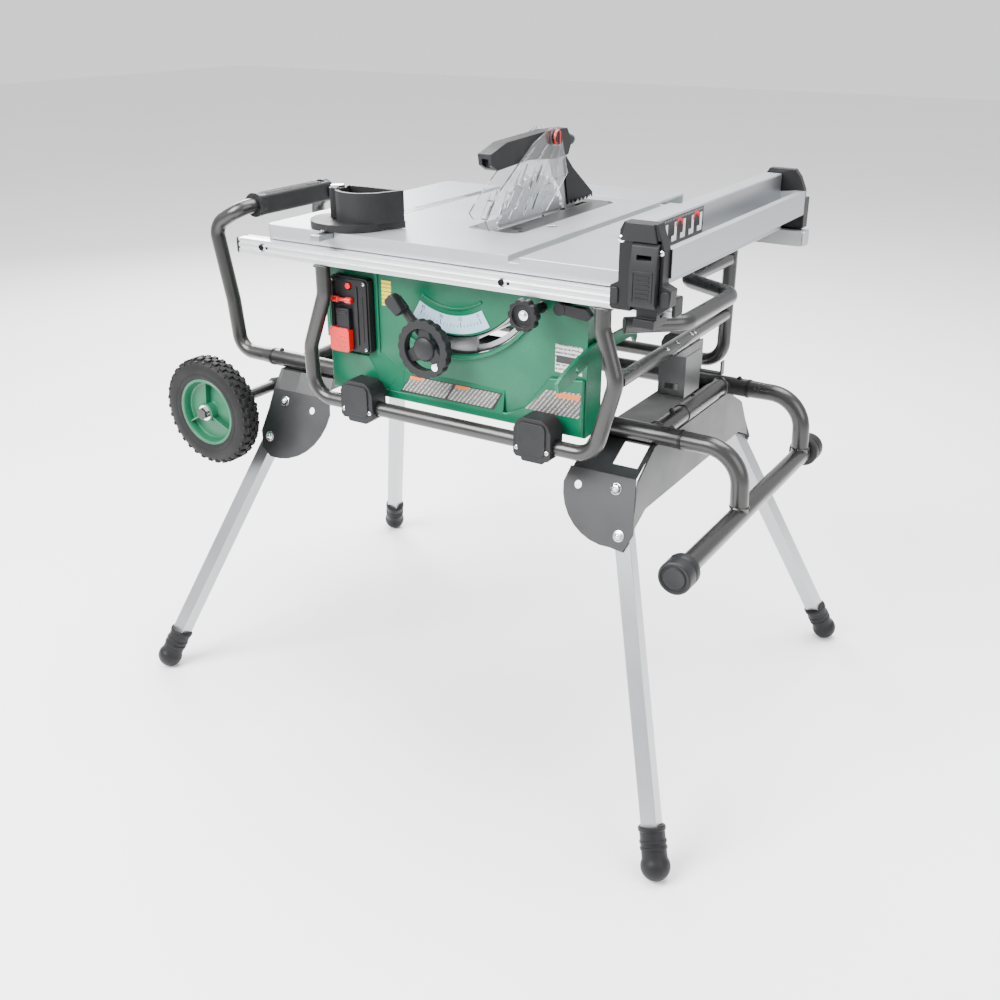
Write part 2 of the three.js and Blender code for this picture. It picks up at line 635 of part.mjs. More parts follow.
// The flip-over sub-fence: a shelf bar on two arms that turn about the fence's own middle line.
function flipFence() {
  const x = fence.flip;
  const [low, high] = [919.6, 960.4];
  const angle = outline([[x - 3, low], [x, low], [x, high], [x - fence.flange, high],
    [x - fence.flange, high - 3], [x - 3, high - 3]]);
  const bar = frontSlab(angle, fence.front - armGap - 1, fence.back + armGap + 1);
  const arms = [fence.front - armGap - armThick, fence.back + armGap].map((y) => {
    const arm = frontSlab(outline([[fenceMid - 14, fence.pivotZ + 14], [fenceMid - 14, fence.pivotZ - 14],
      [x - 20, low], [x, low], [x, high], [x - 16, high]]), y, y + armThick);
    return cut(arm, rod(v3(fenceMid, y - 5, fence.pivotZ), v3(fenceMid, y + 9, fence.pivotZ), 5.6, 16));
  });
  return join(bar, ...arms);
}

const bracketY = fence.front - 2 * armGap - armThick; // back face of the front bracket
function fenceFrontBracket() {
  const [y0, y1] = [bracketY - 22, bracketY];
  const body = frontSlab(outline([[390, 872], [462, 872], [478, 884], [480, 908], [466, 914], [466, 962],
      [454, 996],
    [404, 996], [398, 984], [398, 912], [386, 906], [386, 876]]), y0, y1);
  const jaw = join(block(424, 456, y0, y1, 850, 874),
    block(424, 456, y1 - 1, rail.front + 18, 850, railBottom - running));
  const pivot = rod(v3(fenceMid, y1 - 2, fence.pivotZ), v3(fenceMid, fence.front - gap, fence.pivotZ), 5,
      12);
  const well = block(latch.left - 1, latch.right + 1, y0 - 9, y0 + 9, 862, 974);
  return cut(join(body, jaw, pivot), well);
}

const latch = { left: 420, right: 460, top: 970, bottom: 880, z: 962 };
function fenceLatchLever() {
  const y0 = bracketY - 22;
  const lever = sideSlab(outline([[y0 + 5, latch.bottom + 6], [y0 + 5, latch.top - 4], [y0 + 1, latch.top],
    [y0 - 6, latch.top - 4], [y0 - 12, latch.z - 26], [y0 - 12, latch.bottom + 8], [y0 - 6, latch.bottom]]),
    latch.left, latch.right);
  const window = block(latch.left + 9, latch.right - 9, y0 - 30, y0 + 30, latch.z - 14, latch.z - 8);
  return cut(lever, window);
}

function fenceRearBracket() {
  const y0 = fence.back + 2 * armGap + armThick;
  const back = -rail.front; // outer face of the rear rail
  const upper = frontSlab(outline([[392, 918], [466, 918], [466, 962], [456, 984], [446, 996], [400, 996],
    [392, 984]]), y0, y0 + 14);
  const shoulder = block(396, 466, y0 + 12, back + 10, 893, 946);
  const cutaway = block(380, 480, y0 - 9, edgeY + 2, 880, 917.2);
  const hook = block(404, 458, back + 1, back + 10, 858, 896);
  const pivot = rod(v3(fenceMid, fence.back + gap, fence.pivotZ), v3(fenceMid, y0 + 2, fence.pivotZ), 5, 12);
  return join(cut(join(upper, shoulder), cutaway), hook, pivot);
}

// ---------------------------------------------------------------- cutting unit
const bladeZ = table.top - blade.arborDrop;
const knifeBack = 172;
const knifeHalf = 1.1; // half of the riving knife's thickness
const pawl = { y: 120, z: 1000, head: 8, leaf: 2, slotBack: 206 };
const wheelZ = table.top + tilt.radius * Math.sin(radians(tilt.start));
const wheelX = pivotX + tilt.radius * Math.cos(radians(tilt.start));
const plateY = housing.front + housing.wall + 3; // front face of the carriage's front plate

function bevelCarriage() {
  const side = outline([[-46, -185], [44, -185], [44, -80], [4, -38], [-46, -38]]
    .map(([x, z]) => [pivotX + x, table.top + z]));
  const plates = [frontSlab(side, plateY, plateY + 6), frontSlab(side, -plateY - 6, -plateY)];
  const bars = [-150, -100].map((drop) => {
    const at = (y) => v3(pivotX + 34, y, table.top + drop);
    return rod(at(plateY + 1), at(-plateY - 1), 7, 12);
  });
  const bore = rod(v3(wheelX, plateY - 9, wheelZ), v3(wheelX, plateY + 15, wheelZ),
      handwheel.shaft + running, 16);
  return cut(join(...plates, ...bars), bore);
}

const motor = { radius: 44, y: 50, drop: 28, far: -124 };
function motorUnit() {
  const caseRight = pivotX - 10;
  const motorZ = bladeZ - motor.drop;
  const gearCase = sideSlab(outline([...arcPoints(blade.y, bladeZ, 27, 90, 250, 6),
    ...arcPoints(motor.y, motorZ, motor.radius, 250, 430, 8)]), caseRight - 26, caseRight);
  const can = rod(v3(caseRight - 25, motor.y, motorZ), v3(motor.far, motor.y, motorZ), motor.radius, 24);
  const arm = block(caseRight - 8, caseRight + 4, motor.y, knifeBack - 6, bladeZ - 26, bladeZ - 2);
  const pad = block(caseRight + 3, pivotX - knifeHalf - gap, blade.y + blade.radius + 9, knifeBack - 6,
    bladeZ - 26, bladeZ - 2);
  const bore = rod(v3(caseRight - 12, blade.y, bladeZ), v3(caseRight + 9, blade.y, bladeZ), 8 + running, 16);
  return cut(join(gearCase, can, arm, pad), bore);
}

function sawBlade() {
  const at = (x) => v3(pivotX + x, blade.y, bladeZ);
  const half = blade.thick / 2;
  const disc = rod(at(-half), at(half), blade.radius, 40);
  return join(disc, rod(at(-half - 5), at(half + 5), blade.flange, 20), rod(at(-20), at(half + 14), 8, 12),
    rod(at(half + 4), at(half + 13), 13, 6));
}

function rivingKnife() {
  const inner = arcPoints(blade.y, bladeZ, blade.radius + 4, 0, 56, 8);
  const shape = outline([[blade.y + blade.radius + 4, bladeZ - 28], ...inner, [50, 1030], [56, 1044],
    [92, 1044], [128, 1010], [154, 950], [knifeBack - 8, 920], [knifeBack - 8, bladeZ - 28]]);
  const bore = rod(v3(pivotX - 9, pawl.y, pawl.z), v3(pivotX + 9, pawl.y, pawl.z), 4 + gap, 16);
  return cut(sideSlab(shape, pivotX - knifeHalf, pivotX + knifeHalf), bore);
}

const guard = { y: 52, z: 1042, half: 13, pin: 6 };
function guardArm() {
  const g = guard;
  const beam = sideSlab(outline([[-150, 1042], [-146, 1024], [-128, 1014], [-30, 1020], [60, 1012],
    [112, 1014], [124, 1036], [106, 1060], [40, 1062], [-100, 1056]]), pivotX - g.half, pivotX + g.half);
  const slit = block(pivotX - knifeHalf - gap, pivotX + knifeHalf + gap, 46, 140, 990, 1044 + gap);
  const fork = block(pivotX - 6, pivotX + 6, -160, -136, 1000, 1034);
  const pinEnds = [pivotX - g.half - 5.5, pivotX + g.half + 5.5];
  const pivot = rod(v3(pinEnds[0], g.y, g.z + 8), v3(pinEnds[1], g.y, g.z + 8), g.pin, 12);
  const head = rod(v3(pinEnds[1] - 0.5, g.y, g.z + 8), v3(pinEnds[1] + 9, g.y, g.z + 8), 12, 12);
  const button = rod(v3(pivotX, 104, 1050), v3(pivotX, 142, 1036), 8, 12);
  return join(cut(beam, slit, fork), pivot, head, button);
}

// A clear side shield outside the guard arm; side is -1 on the left. The left one ends higher,
// because it leans down towards the table as the blade tilts.
function guardShield(side) {
  const g = guard;
  const x = g.half + 1;
  const [a, b] = side > 0 ? [pivotX + x, pivotX + x + 3] : [pivotX - x - 3, pivotX - x];
  const lowerEdge = side > 0 ? [[-172, 940], [-160, 921], [-40, 918.5], [30, 928]]
    : [[-172, 950], [-160, 938], [-40, 935.5], [30, 941]];
  const face = sideSlab(outline([[80, 1046], [66, 1066], [38, 1066], [-20, 1046], [-150, 968], ...lowerEdge,
    [104, 982]]), a, b);
  return cut(face, rod(v3(a - 5, g.y, g.z + 8), v3(b + 5, g.y, g.z + 8), g.pin + 0.8, 16));
}

// Two toothed leaves, one each side of the riving knife, on a pin through it.
function kickbackPawls() {
  const { y, z, head, leaf } = pawl;
  const teeth = Array.from({ length: 6 }, (_, i) => [[132 + 15 * i, 921], [144 + 15 * i, 930]]).flat();
  const shape = outline([...arcPoints(y, z, head, 60, 225, 6), ...teeth, [230, 922], [228, 932],
      [148, 986]]);
  const near = knifeHalf + 0.5;
  const leaves = [[pivotX - near - leaf, pivotX - near], [pivotX + near, pivotX + near + leaf]]
    .map(([a, b]) => sideSlab(shape, a, b));
  return join(...leaves, rod(v3(pivotX - near - leaf, y, z), v3(pivotX + near + leaf, y, z), 4, 12));
}

function handwheelDisc() {
  const at = (y) => v3(wheelX, y, wheelZ);
  const y = handwheel.y;
  const rimShape = cut(rod(at(y - 9), at(y + 7), handwheel.radius, 28),
    rod(at(y - 20), at(y + 20), handwheel.radius - 11, 24));
  const spokes = [90, 210, 330].map((angle) => {
    const spoke = block(0, handwheel.radius - 8, y - 4, y + 4, -8, 8).rotateY(radians(angle));
    return spoke.translate(wheelX, 0, wheelZ);
  });
  const hub = rod(at(y - 8), at(y + 6), 16, 16);
  const shaft = rod(at(y), at(plateY + 12), handwheel.shaft, 16);
  return join(rimShape, hub, shaft, ...spokes);
}

function bevelLockLever() {
  const y = handwheel.y + 18;
  const at = (dy) => v3(wheelX, y + dy, wheelZ);
  const tip = v3(-22, y - 5, 822);
  const arm = rod(v3(wheelX, y, wheelZ), v3(tip.x, y, tip.z), 8, 8);
  const paddle = rod(v3(tip.x + 16, y - 3, tip.z - 18), v3(tip.x, y - 5, tip.z), 12, 8);
  return cut(join(rod(at(-7), at(7), 17, 16), arm, paddle),
      rod(at(-30), at(30), handwheel.shaft + running, 16));
}

// ---------------------------------------------------------------- switch
const switches = { left: -176, right: -92, bottom: 711, top: 841, depth: 16 };
const switchFace = housing.front - gap - switches.depth;

function switchBox() {
  const s = switches;
  const y1 = housing.front - gap;
  const body = frontSlab(roundedOutline(s.left, s.right, s.bottom, s.top, 8, 3), switchFace, y1);
  const buttonHole = rod(v3(-134, switchFace - 9, 826), v3(-134, y1 - 4, 826), 6, 16);
  return cut(body, buttonHole);
}

function resetButton() {
  return rod(v3(-134, switchFace - 4, 826), v3(-134, housing.front - 8, 826), 5.2, 12);
}

function toggleSwitch() {
  const y = switchFace - 5.5;
  const bar = rod(v3(-160, y, 802), v3(-126, y, 802), 4.6, 10);
  return join(bar, rod(v3(-166, y, 802), v3(-157, y, 802), 5, 12),
      rod(v3(-136, y, 802), v3(-124, y, 802), 5, 12));
}

function stopPaddle() {
  const [y0, y1] = [switchFace - 9, switchFace - gap];
  const upper = block(-154, -128, y0, y1, 748, 788);
  const lower = frontSlab(roundedOutline(-170, -128, 712, 752, 5, 3), y0 - 5, y1);
  return join(upper, lower);
}

// ---------------------------------------------------------------- accessories
const miter = { x: slotX.left, y: 65 - edgeY, z: table.top + 1 };
function miterBar() {
  const halfBar = slotWidth / 2 - gap;
  const bar = block(miter.x - halfBar, miter.x + halfBar, miter.y - 102, miter.y + 348,
      table.top - slotDepth + gap, table.top - 0.1);
  return join(bar, rod(v3(miter.x, miter.y, table.top - 4), v3(miter.x, miter.y, miter.z + 14), 4, 12));
}

function miterHead() {
  const { x, y, z } = miter;
  const fan = flatSlab(outline([...arcPoints(x, y, 72, 180, 360, 14), [x + 92, y + 26],
      [x - 60, y + 26]]), z, z + 12);
  const bossOutline = outline([...arcPoints(x + 26, y + 6, 52, 190, 350, 8), [x + 90, y + 26],
      [x - 30, y + 26]]);
  const hollowOutline = outline([...arcPoints(x + 26, y + 4, 44, 200, 340, 6), [x + 80, y + 20],
      [x - 20, y + 20]]);
  const boss = flatSlab(bossOutline, z + 11, z + 62);
  const hollow = flatSlab(hollowOutline, z + 20, z + 90);
  const seat = rod(v3(x - 22, y - 8, z + 11), v3(x - 22, y - 8, z + 90), 18, 16);
  const bore = rod(v3(x, y, z - 9), v3(x, y, z + 30), 4.8, 16);
  return cut(join(fan, cut(boss, hollow)), seat, bore);
}

function miterKnob() {
  const at = (h) => v3(miter.x - 22, miter.y - 8, miter.z + h);
  return join(rod(at(12 + gap), at(64), 15, 20), rod(at(63), at(68), 11, 16));
}

function pushStick() {
  const shape = outline([[-361, 758], [-356, 742], [-330, 744], [-240, 770], [-110, 770], [-98, 756],
    [-92, 764], [-96, 790], [-236, 790], [-300, 780], [-346, 766]]);
  const x = housing.right + 4; // inner face of the stick
  const holes = [[-300, 764], [-200, 780]].map(([y, z]) => rod(v3(x - 9, y, z), v3(x + 20, y, z), 5, 12));
  return cut(sideSlab(shape, x, x + 6), ...holes);
}

// ---------------------------------------------------------------- building the saw
const pieces = [
  ["saw_housing", sawHousing(), green], ["table_top", tableTop(), castTop],
  ["throat_plate", throatPlate(), steel],
  ["rear_extension", rearExtension(), silver], ["front_rail", railBar(-1), silver],
  ["rear_rail", railBar(1), silver],
  ["rail_knob", railAdjustingKnob(), black], ["rail_lock_lever", railLockLever(), black],
  ["fence_beam", fenceBeam(), silver], ["flip_fence", flipFence(), silver],
  ["fence_front_bracket", fenceFrontBracket(), black], ["fence_latch_lever", fenceLatchLever(), black],
  ["fence_rear_bracket", fenceRearBracket(), black], ["bevel_carriage", bevelCarriage(), steel],
  ["motor_unit", motorUnit(), black], ["saw_blade", sawBlade(), steel],
  ["riving_knife", rivingKnife(), steel],
  ["guard_arm", guardArm(), black], ["guard_shield_left", guardShield(-1), clear],
  ["guard_shield_right", guardShield(1), clear], ["kickback_pawls", kickbackPawls(), steel],
  ["handwheel", handwheelDisc(), black], ["bevel_lock_lever", bevelLockLever(), black],
  ["switch_box", switchBox(), black], ["reset_button", resetButton(), red],
  ["toggle_switch", toggleSwitch(), red],
  ["stop_paddle", stopPaddle(), red], ["miter_bar", miterBar(), steel], ["miter_head", miterHead(), black],
  ["miter_knob", miterKnob(), black], ["push_stick", pushStick(), green],
];
for (const [name, geometry, material] of pieces) add(name, geometry, material);

export default tableSaw;
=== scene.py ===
import json
import math

import bmesh
import bpy
from mathutils import Matrix, Vector


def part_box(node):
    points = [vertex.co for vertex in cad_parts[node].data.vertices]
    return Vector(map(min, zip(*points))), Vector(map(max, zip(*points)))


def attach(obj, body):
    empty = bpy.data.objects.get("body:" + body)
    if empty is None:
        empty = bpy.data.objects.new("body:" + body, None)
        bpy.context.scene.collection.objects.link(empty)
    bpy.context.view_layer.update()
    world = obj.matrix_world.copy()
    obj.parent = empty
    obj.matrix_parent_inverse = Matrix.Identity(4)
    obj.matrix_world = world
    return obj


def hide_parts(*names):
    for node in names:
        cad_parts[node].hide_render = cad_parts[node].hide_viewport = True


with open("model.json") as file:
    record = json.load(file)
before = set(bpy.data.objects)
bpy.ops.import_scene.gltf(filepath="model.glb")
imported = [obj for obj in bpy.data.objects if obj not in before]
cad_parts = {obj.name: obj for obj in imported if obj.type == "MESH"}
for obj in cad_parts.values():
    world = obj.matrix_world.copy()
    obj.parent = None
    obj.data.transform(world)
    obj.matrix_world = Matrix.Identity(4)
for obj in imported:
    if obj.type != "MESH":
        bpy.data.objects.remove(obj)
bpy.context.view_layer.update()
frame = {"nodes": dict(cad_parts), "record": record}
for spare in ("Cube", "Light", "Camera"):  # what a new Blender file starts with
    if spare in bpy.data.objects:
        bpy.data.objects.remove(bpy.data.objects[spare])
print("frame loaded")

mm = 0.001  # shapes are drawn in millimetres and made in metres
nodes = frame["nodes"]
bodyOf = {n: body for body, members in frame["record"]["behaviour"]["bodies"].items() for n in members}


def corners(node):  # lowest and highest corner of a CAD node, in millimetres
    low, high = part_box(node)
    return Vector(low) / mm, Vector(high) / mm


def middle(node):
    low, high = corners(node)
    return (low + high) / 2


# shapes

class Shape:
    # Closed pieces of surface; each face remembers which of the piece's finishes it wears.
    def __init__(self, points=(), faces=(), finish=0):
        self.points = [Vector(p) for p in points]
        self.faces = [(tuple(face), finish) for face in faces]

    def __add__(self, other):
        both = Shape()
        shift = len(self.points)
        both.points = self.points + other.points
        both.faces = self.faces + [(tuple(i + shift for i in face), f) for face, f in other.faces]
        return both

    def placed(self, matrix):
        copy = Shape()
        copy.points = [matrix @ p for p in self.points]
        copy.faces = list(self.faces)
        return copy

    def wearing(self, finish):
        copy = Shape()
        copy.points = list(self.points)
        copy.faces = [(face, finish) for face, _ in self.faces]
        return copy


def together(shapes):
    total = Shape()
    for shape in shapes:
        total = total + shape
    return total


def arc(cx, cy, radius, start, end, steps):
    turns = [math.radians(start + (end - start) * i / steps) for i in range(steps + 1)]
    return [(cx + radius * math.cos(t), cy + radius * math.sin(t)) for t in turns]


def roundedOutline(x0, x1, y0, y1, radius, steps=6):
    points = []
    for cx, cy, start in ((x1 - radius, y1 - radius, 0), (x0 + radius, y1 - radius, 90),
                          (x0 + radius, y0 + radius, 180), (x1 - radius, y0 + radius, 270)):
        points += arc(cx, cy, radius, start, start + 90, steps)
    return points


def prism(outline, axis, low, high, finish=0):
    # axis is the direction of thickness; the outline is drawn in the other two, in X Y Z order
    spot = {"x": lambda a, b, t: (t, a, b), "y": lambda a, b, t: (a, t, b), "z": lambda a, b,
            t: (a, b, t)}[axis]
    n = len(outline)
    points = [spot(a, b, low) for a, b in outline] + [spot(a, b, high) for a, b in outline]
    faces = [tuple(range(n)), tuple(range(n, 2 * n))]
    faces += [(i, (i + 1) % n, n + (i + 1) % n, n + i) for i in range(n)]
    return Shape(points, faces, finish)


def box(x0, x1, y0, y1, z0, z1, finish=0):
    return prism([(x0, y0), (x1, y0), (x1, y1), (x0, y1)], "z", z0, z1, finish)


def uprightTo(along):
    return Vector(along).normalized().to_track_quat("Z", "Y").to_matrix().to_4x4()


def turned(profile, start, along, sides=48, finish=0, closed=False):
    # the profile lists (radius, height); a radius of 0 closes it on the axis
    points, rings = [], []
    for radius, height in profile:
        if radius < 1e-6:
            rings.append([len(points)])
            points.append((0, 0, height))
        else:
            rings.append(list(range(len(points), len(points) + sides)))
            points += [(radius * math.cos(math.tau * k / sides), radius * math.sin(math.tau * k / sides),
                        height)
                       for k in range(sides)]
    faces = []
    pairs = list(zip(rings, rings[1:])) + ([(rings[-1], rings[0])] if closed else [])
    for a, b in pairs:
        for k in range(sides):
            j = (k + 1) % sides
            if len(a) == 1 and len(b) > 1:
                faces.append((a[0], b[k], b[j]))
            elif len(b) == 1 and len(a) > 1:
                faces.append((a[k], a[j], b[0]))
            elif len(a) > 1:
                faces.append((a[k], a[j], b[j], b[k]))
    return Shape(points, faces, finish).placed(Matrix.Translation(start) @ uprightTo(along))


def rod(start, end, radius, sides=32, farRadius=None, finish=0, chamfer=0):
    start, end = Vector(start), Vector(end)
    far = radius if farRadius is None else farRadius
    long = (end - start).length
    profile = [(0, 0), (radius - chamfer, 0)]
    if chamfer:
        profile += [(radius, chamfer), (far, long - chamfer)]
    profile += [(far - chamfer, long), (0, long)]
    return turned(profile, start, end - start, sides, finish)


def dome(spot, along, radius, height, sides=20, finish=0):
    profile = [(0, -0.5), (radius, -0.5)] + [(radius * math.cos(t), height * math.sin(t))
                                            for t in (math.radians(d) for d in range(0, 90,
                                                                                     18))] + [(0, height)]
    return turned(profile, spot, along, sides, finish)


def hexNut(spot, along, across, height, finish=0):
    chamfer = height * 0.15
    return turned([(0, 0), (across, 0), (across, height - chamfer), (across * 0.88, height), (0, height)],
                  spot, along, 6, finish)


def bentRoute(points, bend, stepAngle=7.5):
    # straight runs with round bends, as a tube bender makes them
    points = [Vector(p) for p in points]
    route = [points[0]]
    for before, corner, after in zip(points, points[1:], points[2:]):
        into, out = (corner - before).normalized(), (after - corner).normalized()
        turn = into.angle(out)
        if turn < 0.02:
            continue
        start = corner - into * bend * math.tan(turn / 2)
        side = (out - into * into.dot(out)).normalized()
        centre = start + side * bend
        steps = max(2, math.ceil(math.degrees(turn) / stepAngle))
        for i in range(steps + 1):
            a = turn * i / steps
            route.append(centre - side * bend * math.cos(a) + into * bend * math.sin(a))
    return route + [points[-1]]


def tube(points, radius, bend=40, sides=28, finish=0):
    route = bentRoute(points, bend)
    tangents = [(b - a).normalized() for a, b in zip(route, route[1:])]
    tangents = [tangents[0]] + [(a + b).normalized() for a,
                                b in zip(tangents, tangents[1:])] + [tangents[-1]]
    side = tangents[0].orthogonal().normalized()
    rings, verts = [], []
    for spot, tangent in zip(route, tangents):
        side = (side - tangent * side.dot(tangent)).normalized()
        other = tangent.cross(side)
        rings.append(range(len(verts), len(verts) + sides))
        for k in range(sides):
            t = math.tau * k / sides
            verts.append(spot + side * radius * math.cos(t) + other * radius * math.sin(t))
    faces = [tuple(rings[0]), tuple(rings[-1])]
    for a, b in zip(rings, rings[1:]):
        faces += [(a[k], a[(k + 1) % sides], b[(k + 1) % sides], b[k]) for k in range(sides)]
    return Shape(verts, faces, finish)


# turning shapes into pieces

def meshOf(shape, name="scratch"):
    mesh = bpy.data.meshes.new(name)
    mesh.from_pydata([p * mm for p in shape.points], [], [face for face, _ in shape.faces])
    for polygon, (_, finish) in zip(mesh.polygons, shape.faces):
        polygon.material_index = finish
    work = bmesh.new()
    work.from_mesh(mesh)
    bmesh.ops.recalc_face_normals(work, faces=work.faces)
    work.to_mesh(mesh)
    work.free()
    return mesh


def shapeOf(mesh):
    shape = Shape()
    shape.points = [v.co / mm for v in mesh.vertices]
    shape.faces = [(tuple(p.vertices), p.material_index) for p in mesh.polygons]
    return shape


def evaluated(piece):
    depsgraph = bpy.context.evaluated_depsgraph_get()
    return bpy.data.meshes.new_from_object(piece.evaluated_get(depsgraph))


def scratchObject(mesh):
    holder = bpy.data.objects.new("scratch", mesh)
    bpy.context.scene.collection.objects.link(holder)
    return holder


def carved(shape, *cutters):
    base = scratchObject(meshOf(shape))
    blocks = scratchObject(meshOf(together(cutters)))
    for holder in (base, blocks):
        for _ in range(4):
            holder.data.materials.append(None)
    knife = base.modifiers.new("cut", "BOOLEAN")
    knife.operation, knife.solver, knife.object = "DIFFERENCE", "EXACT", blocks
    knife.use_self = True
    result = evaluated(base)
    rest = shapeOf(result)
    for holder in (base, blocks):
        bpy.data.objects.remove(holder)
    return rest


def cadShape(node):
    # a CAD node's surface, with its loose triangles merged back into flat faces
    work = bmesh.new()
    work.from_mesh(nodes[node].data)
    bmesh.ops.remove_doubles(work, verts=work.verts, dist=1e-5)
    bmesh.ops.dissolve_limit(work, angle_limit=math.radians(0.6), verts=work.verts, edges=work.edges)
    mesh = bpy.data.meshes.new("scratch")
    work.to_mesh(mesh)
    work.free()
    for polygon in mesh.polygons:
        polygon.material_index = 0
    return shapeOf(mesh)


def makePiece(name, shape, node, finishes, bevel=0.0, segments=2, along=None, stands=True,
              edge=38, limit=38):
    mesh = meshOf(shape, name)
    piece = bpy.data.objects.new(name, mesh)
    bpy.context.scene.collection.objects.link(piece)
    for finish in finishes:
        mesh.materials.append(finish)
    if bevel:
        softener = piece.modifiers.new("bevel", "BEVEL")
        softener.width, softener.segments = bevel * mm, segments
        softener.limit_method, softener.angle_limit = "ANGLE", math.radians(limit)
        softener.miter_outer = "MITER_ARC"
        piece.data = evaluated(piece)
        piece.modifiers.clear()
    settle(piece, name, edge, along)
    return joined(piece, node, stands)


def settle(piece, name, edge, along):
    mesh = piece.data
    mesh.name = name
    mesh.shade_smooth()
    mesh.set_sharp_from_angle(angle=math.radians(edge))
    weighted = piece.modifiers.new("weighted", "WEIGHTED_NORMAL")
    weighted.keep_sharp = True
    piece.data = evaluated(piece)
    piece.modifiers.clear()
    # the direction of drawing or brushing, for the metal finishes
    direction = Vector(along).normalized() if along else Vector((1, 0, 0))
    turn = direction.to_track_quat("X", "Z").to_matrix().inverted()
    grain = piece.data.attributes.new("grain", "FLOAT_VECTOR", "POINT")
    for vertex, value in zip(piece.data.vertices, grain.data):
        value.vector = turn @ vertex.co


def joined(piece, node, stands):
    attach(piece, bodyOf[node])
    if stands:
        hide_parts(node)
    return piece


# finishes

def newGroup(name, inputs, outputs):
    group = bpy.data.node_groups.new(name, "ShaderNodeTree")
    for label, kind, value in inputs:
        socket = group.interface.new_socket(name=label, in_out="INPUT", socket_type=kind)
        if value is not None:
            socket.default_value = value
    for label, kind in outputs:
        group.interface.new_socket(name=label, in_out="OUTPUT", socket_type=kind)
    return group, group.nodes.new("NodeGroupInput").outputs, group.nodes.new("NodeGroupOutput").inputs


def noiseNode(tree, vector, scale, detail=3.0, roughness=0.55):
    node = tree.nodes.new("ShaderNodeTexNoise")
    node.inputs["Detail"].default_value = detail
    node.inputs["Roughness"].default_value = roughness
    tree.links.new(vector, node.inputs["Vector"])
    if isinstance(scale, (int, float)):
        node.inputs["Scale"].default_value = scale
    else:
        tree.links.new(scale, node.inputs["Scale"])
    return node.outputs["Fac"]


def mathNode(tree, operation, a, b=0.0):
    node = tree.nodes.new("ShaderNodeMath")
    node.operation = operation
    for socket, value in zip(node.inputs, (a, b)):
        if isinstance(value, (int, float)):
            socket.default_value = value
        else:
            tree.links.new(value, socket)
    return node.outputs[0]


def rangeNode(tree, value, low, high, toLow, toHigh):
    node = tree.nodes.new("ShaderNodeMapRange")
    tree.links.new(value, node.inputs[0])
    for socket, number in zip(list(node.inputs)[1:5], (low, high, toLow, toHigh)):
        if isinstance(number, (int, float)):
            socket.default_value = number
        else:
            tree.links.new(number, socket)
    return node.outputs[0]


def mixColour(tree, factor, a, b):
    node = tree.nodes.new("ShaderNodeMix")
    node.data_type = "RGBA"
    for socket, value in ((node.inputs[0], factor), (node.inputs[6], a), (node.inputs[7], b)):
        if isinstance(value, (int, float)) or isinstance(value, tuple):
            socket.default_value = value
        else:
            tree.links.new(value, socket)
    return node.outputs[2]


def mouldedSkin():
    # spark-eroded plastic: fine pits over a slow swell, and where fingers have rubbed it
    group, given, result = newGroup("mouldedSkin", [("Vector", "NodeSocketVector", None),
                                                    ("Pits", "NodeSocketFloat", 900.0)],
                                    [("Height", "NodeSocketFloat"), ("Rub", "NodeSocketFloat")])
    pits = noiseNode(group, given["Vector"], given["Pits"], 2.0)
    swell = noiseNode(group, given["Vector"], 14.0, 3.0)
    group.links.new(mathNode(group, "ADD", pits, swell), result["Height"])
    group.links.new(rangeNode(group, swell, 0.35, 0.7, 0.0, 1.0), result["Rub"])
    return group


def drawnMetal():
    # long fine lines along the piece's own grain, with faint handling marks across them
    group, given, result = newGroup("drawnMetal", [("Vector", "NodeSocketVector", None),
                                                   ("Lines", "NodeSocketFloat", 900.0)],
                                    [("Height", "NodeSocketFloat"), ("Tone", "NodeSocketFloat")])
    stretch = group.nodes.new("ShaderNodeMapping")
    stretch.inputs["Scale"].default_value = (0.02, 1.0, 1.0)
    group.links.new(given["Vector"], stretch.inputs["Vector"])
    lines = noiseNode(group, stretch.outputs[0], given["Lines"], 3.0, 0.7)
    marks = noiseNode(group, given["Vector"], 9.0, 4.0)
    group.links.new(lines, result["Height"])
    group.links.new(mathNode(group, "ADD", mathNode(group, "MULTIPLY", lines, 0.6),
                             mathNode(group, "MULTIPLY", marks, 0.4)), result["Tone"])
    return group


def wornSpots():
    # small scuffs and settled dust, as masks
    group, given, result = newGroup("wornSpots", [("Vector", "NodeSocketVector", None),
                                                  ("Scale", "NodeSocketFloat", 60.0)],
                                    [("Scuff", "NodeSocketFloat"), ("Dust", "NodeSocketFloat")])
    streak = group.nodes.new("ShaderNodeMapping")
    streak.inputs["Rotation"].default_value = (0.4, 0.9, 0.3)
    streak.inputs["Scale"].default_value = (1.0, 0.12, 1.0)
    group.links.new(given["Vector"], streak.inputs["Vector"])
    scuff = noiseNode(group, streak.outputs[0], given["Scale"], 5.0, 0.75)
    dust = noiseNode(group, given["Vector"], 7.0, 4.0, 0.6)
    group.links.new(rangeNode(group, scuff, 0.64, 0.74, 0.0, 1.0), result["Scuff"])
    group.links.new(rangeNode(group, dust, 0.45, 0.8, 0.0, 1.0), result["Dust"])
    return group


skinGroup, metalGroup, wornGroup = mouldedSkin(), drawnMetal(), wornSpots()


def placeGroup(tree, group, vector, **values):
    node = tree.nodes.new("ShaderNodeGroup")
    node.node_tree = group
    tree.links.new(vector, node.inputs["Vector"])
    for label, value in values.items():
        node.inputs[label].default_value = value
    return node.outputs


def startMaterial(name, slot, **sockets):
    material = bpy.data.materials.new(name)
    material.use_nodes = True
    material["slot"] = slot
    tree = material.node_tree
    shader = next(n for n in tree.nodes if n.type == "BSDF_PRINCIPLED")
    for label, value in sockets.items():
        shader.inputs[label.replace("_", " ")].default_value = value
    objectSpace = tree.nodes.new("ShaderNodeTexCoord").outputs["Object"]
    return material, tree, shader, objectSpace


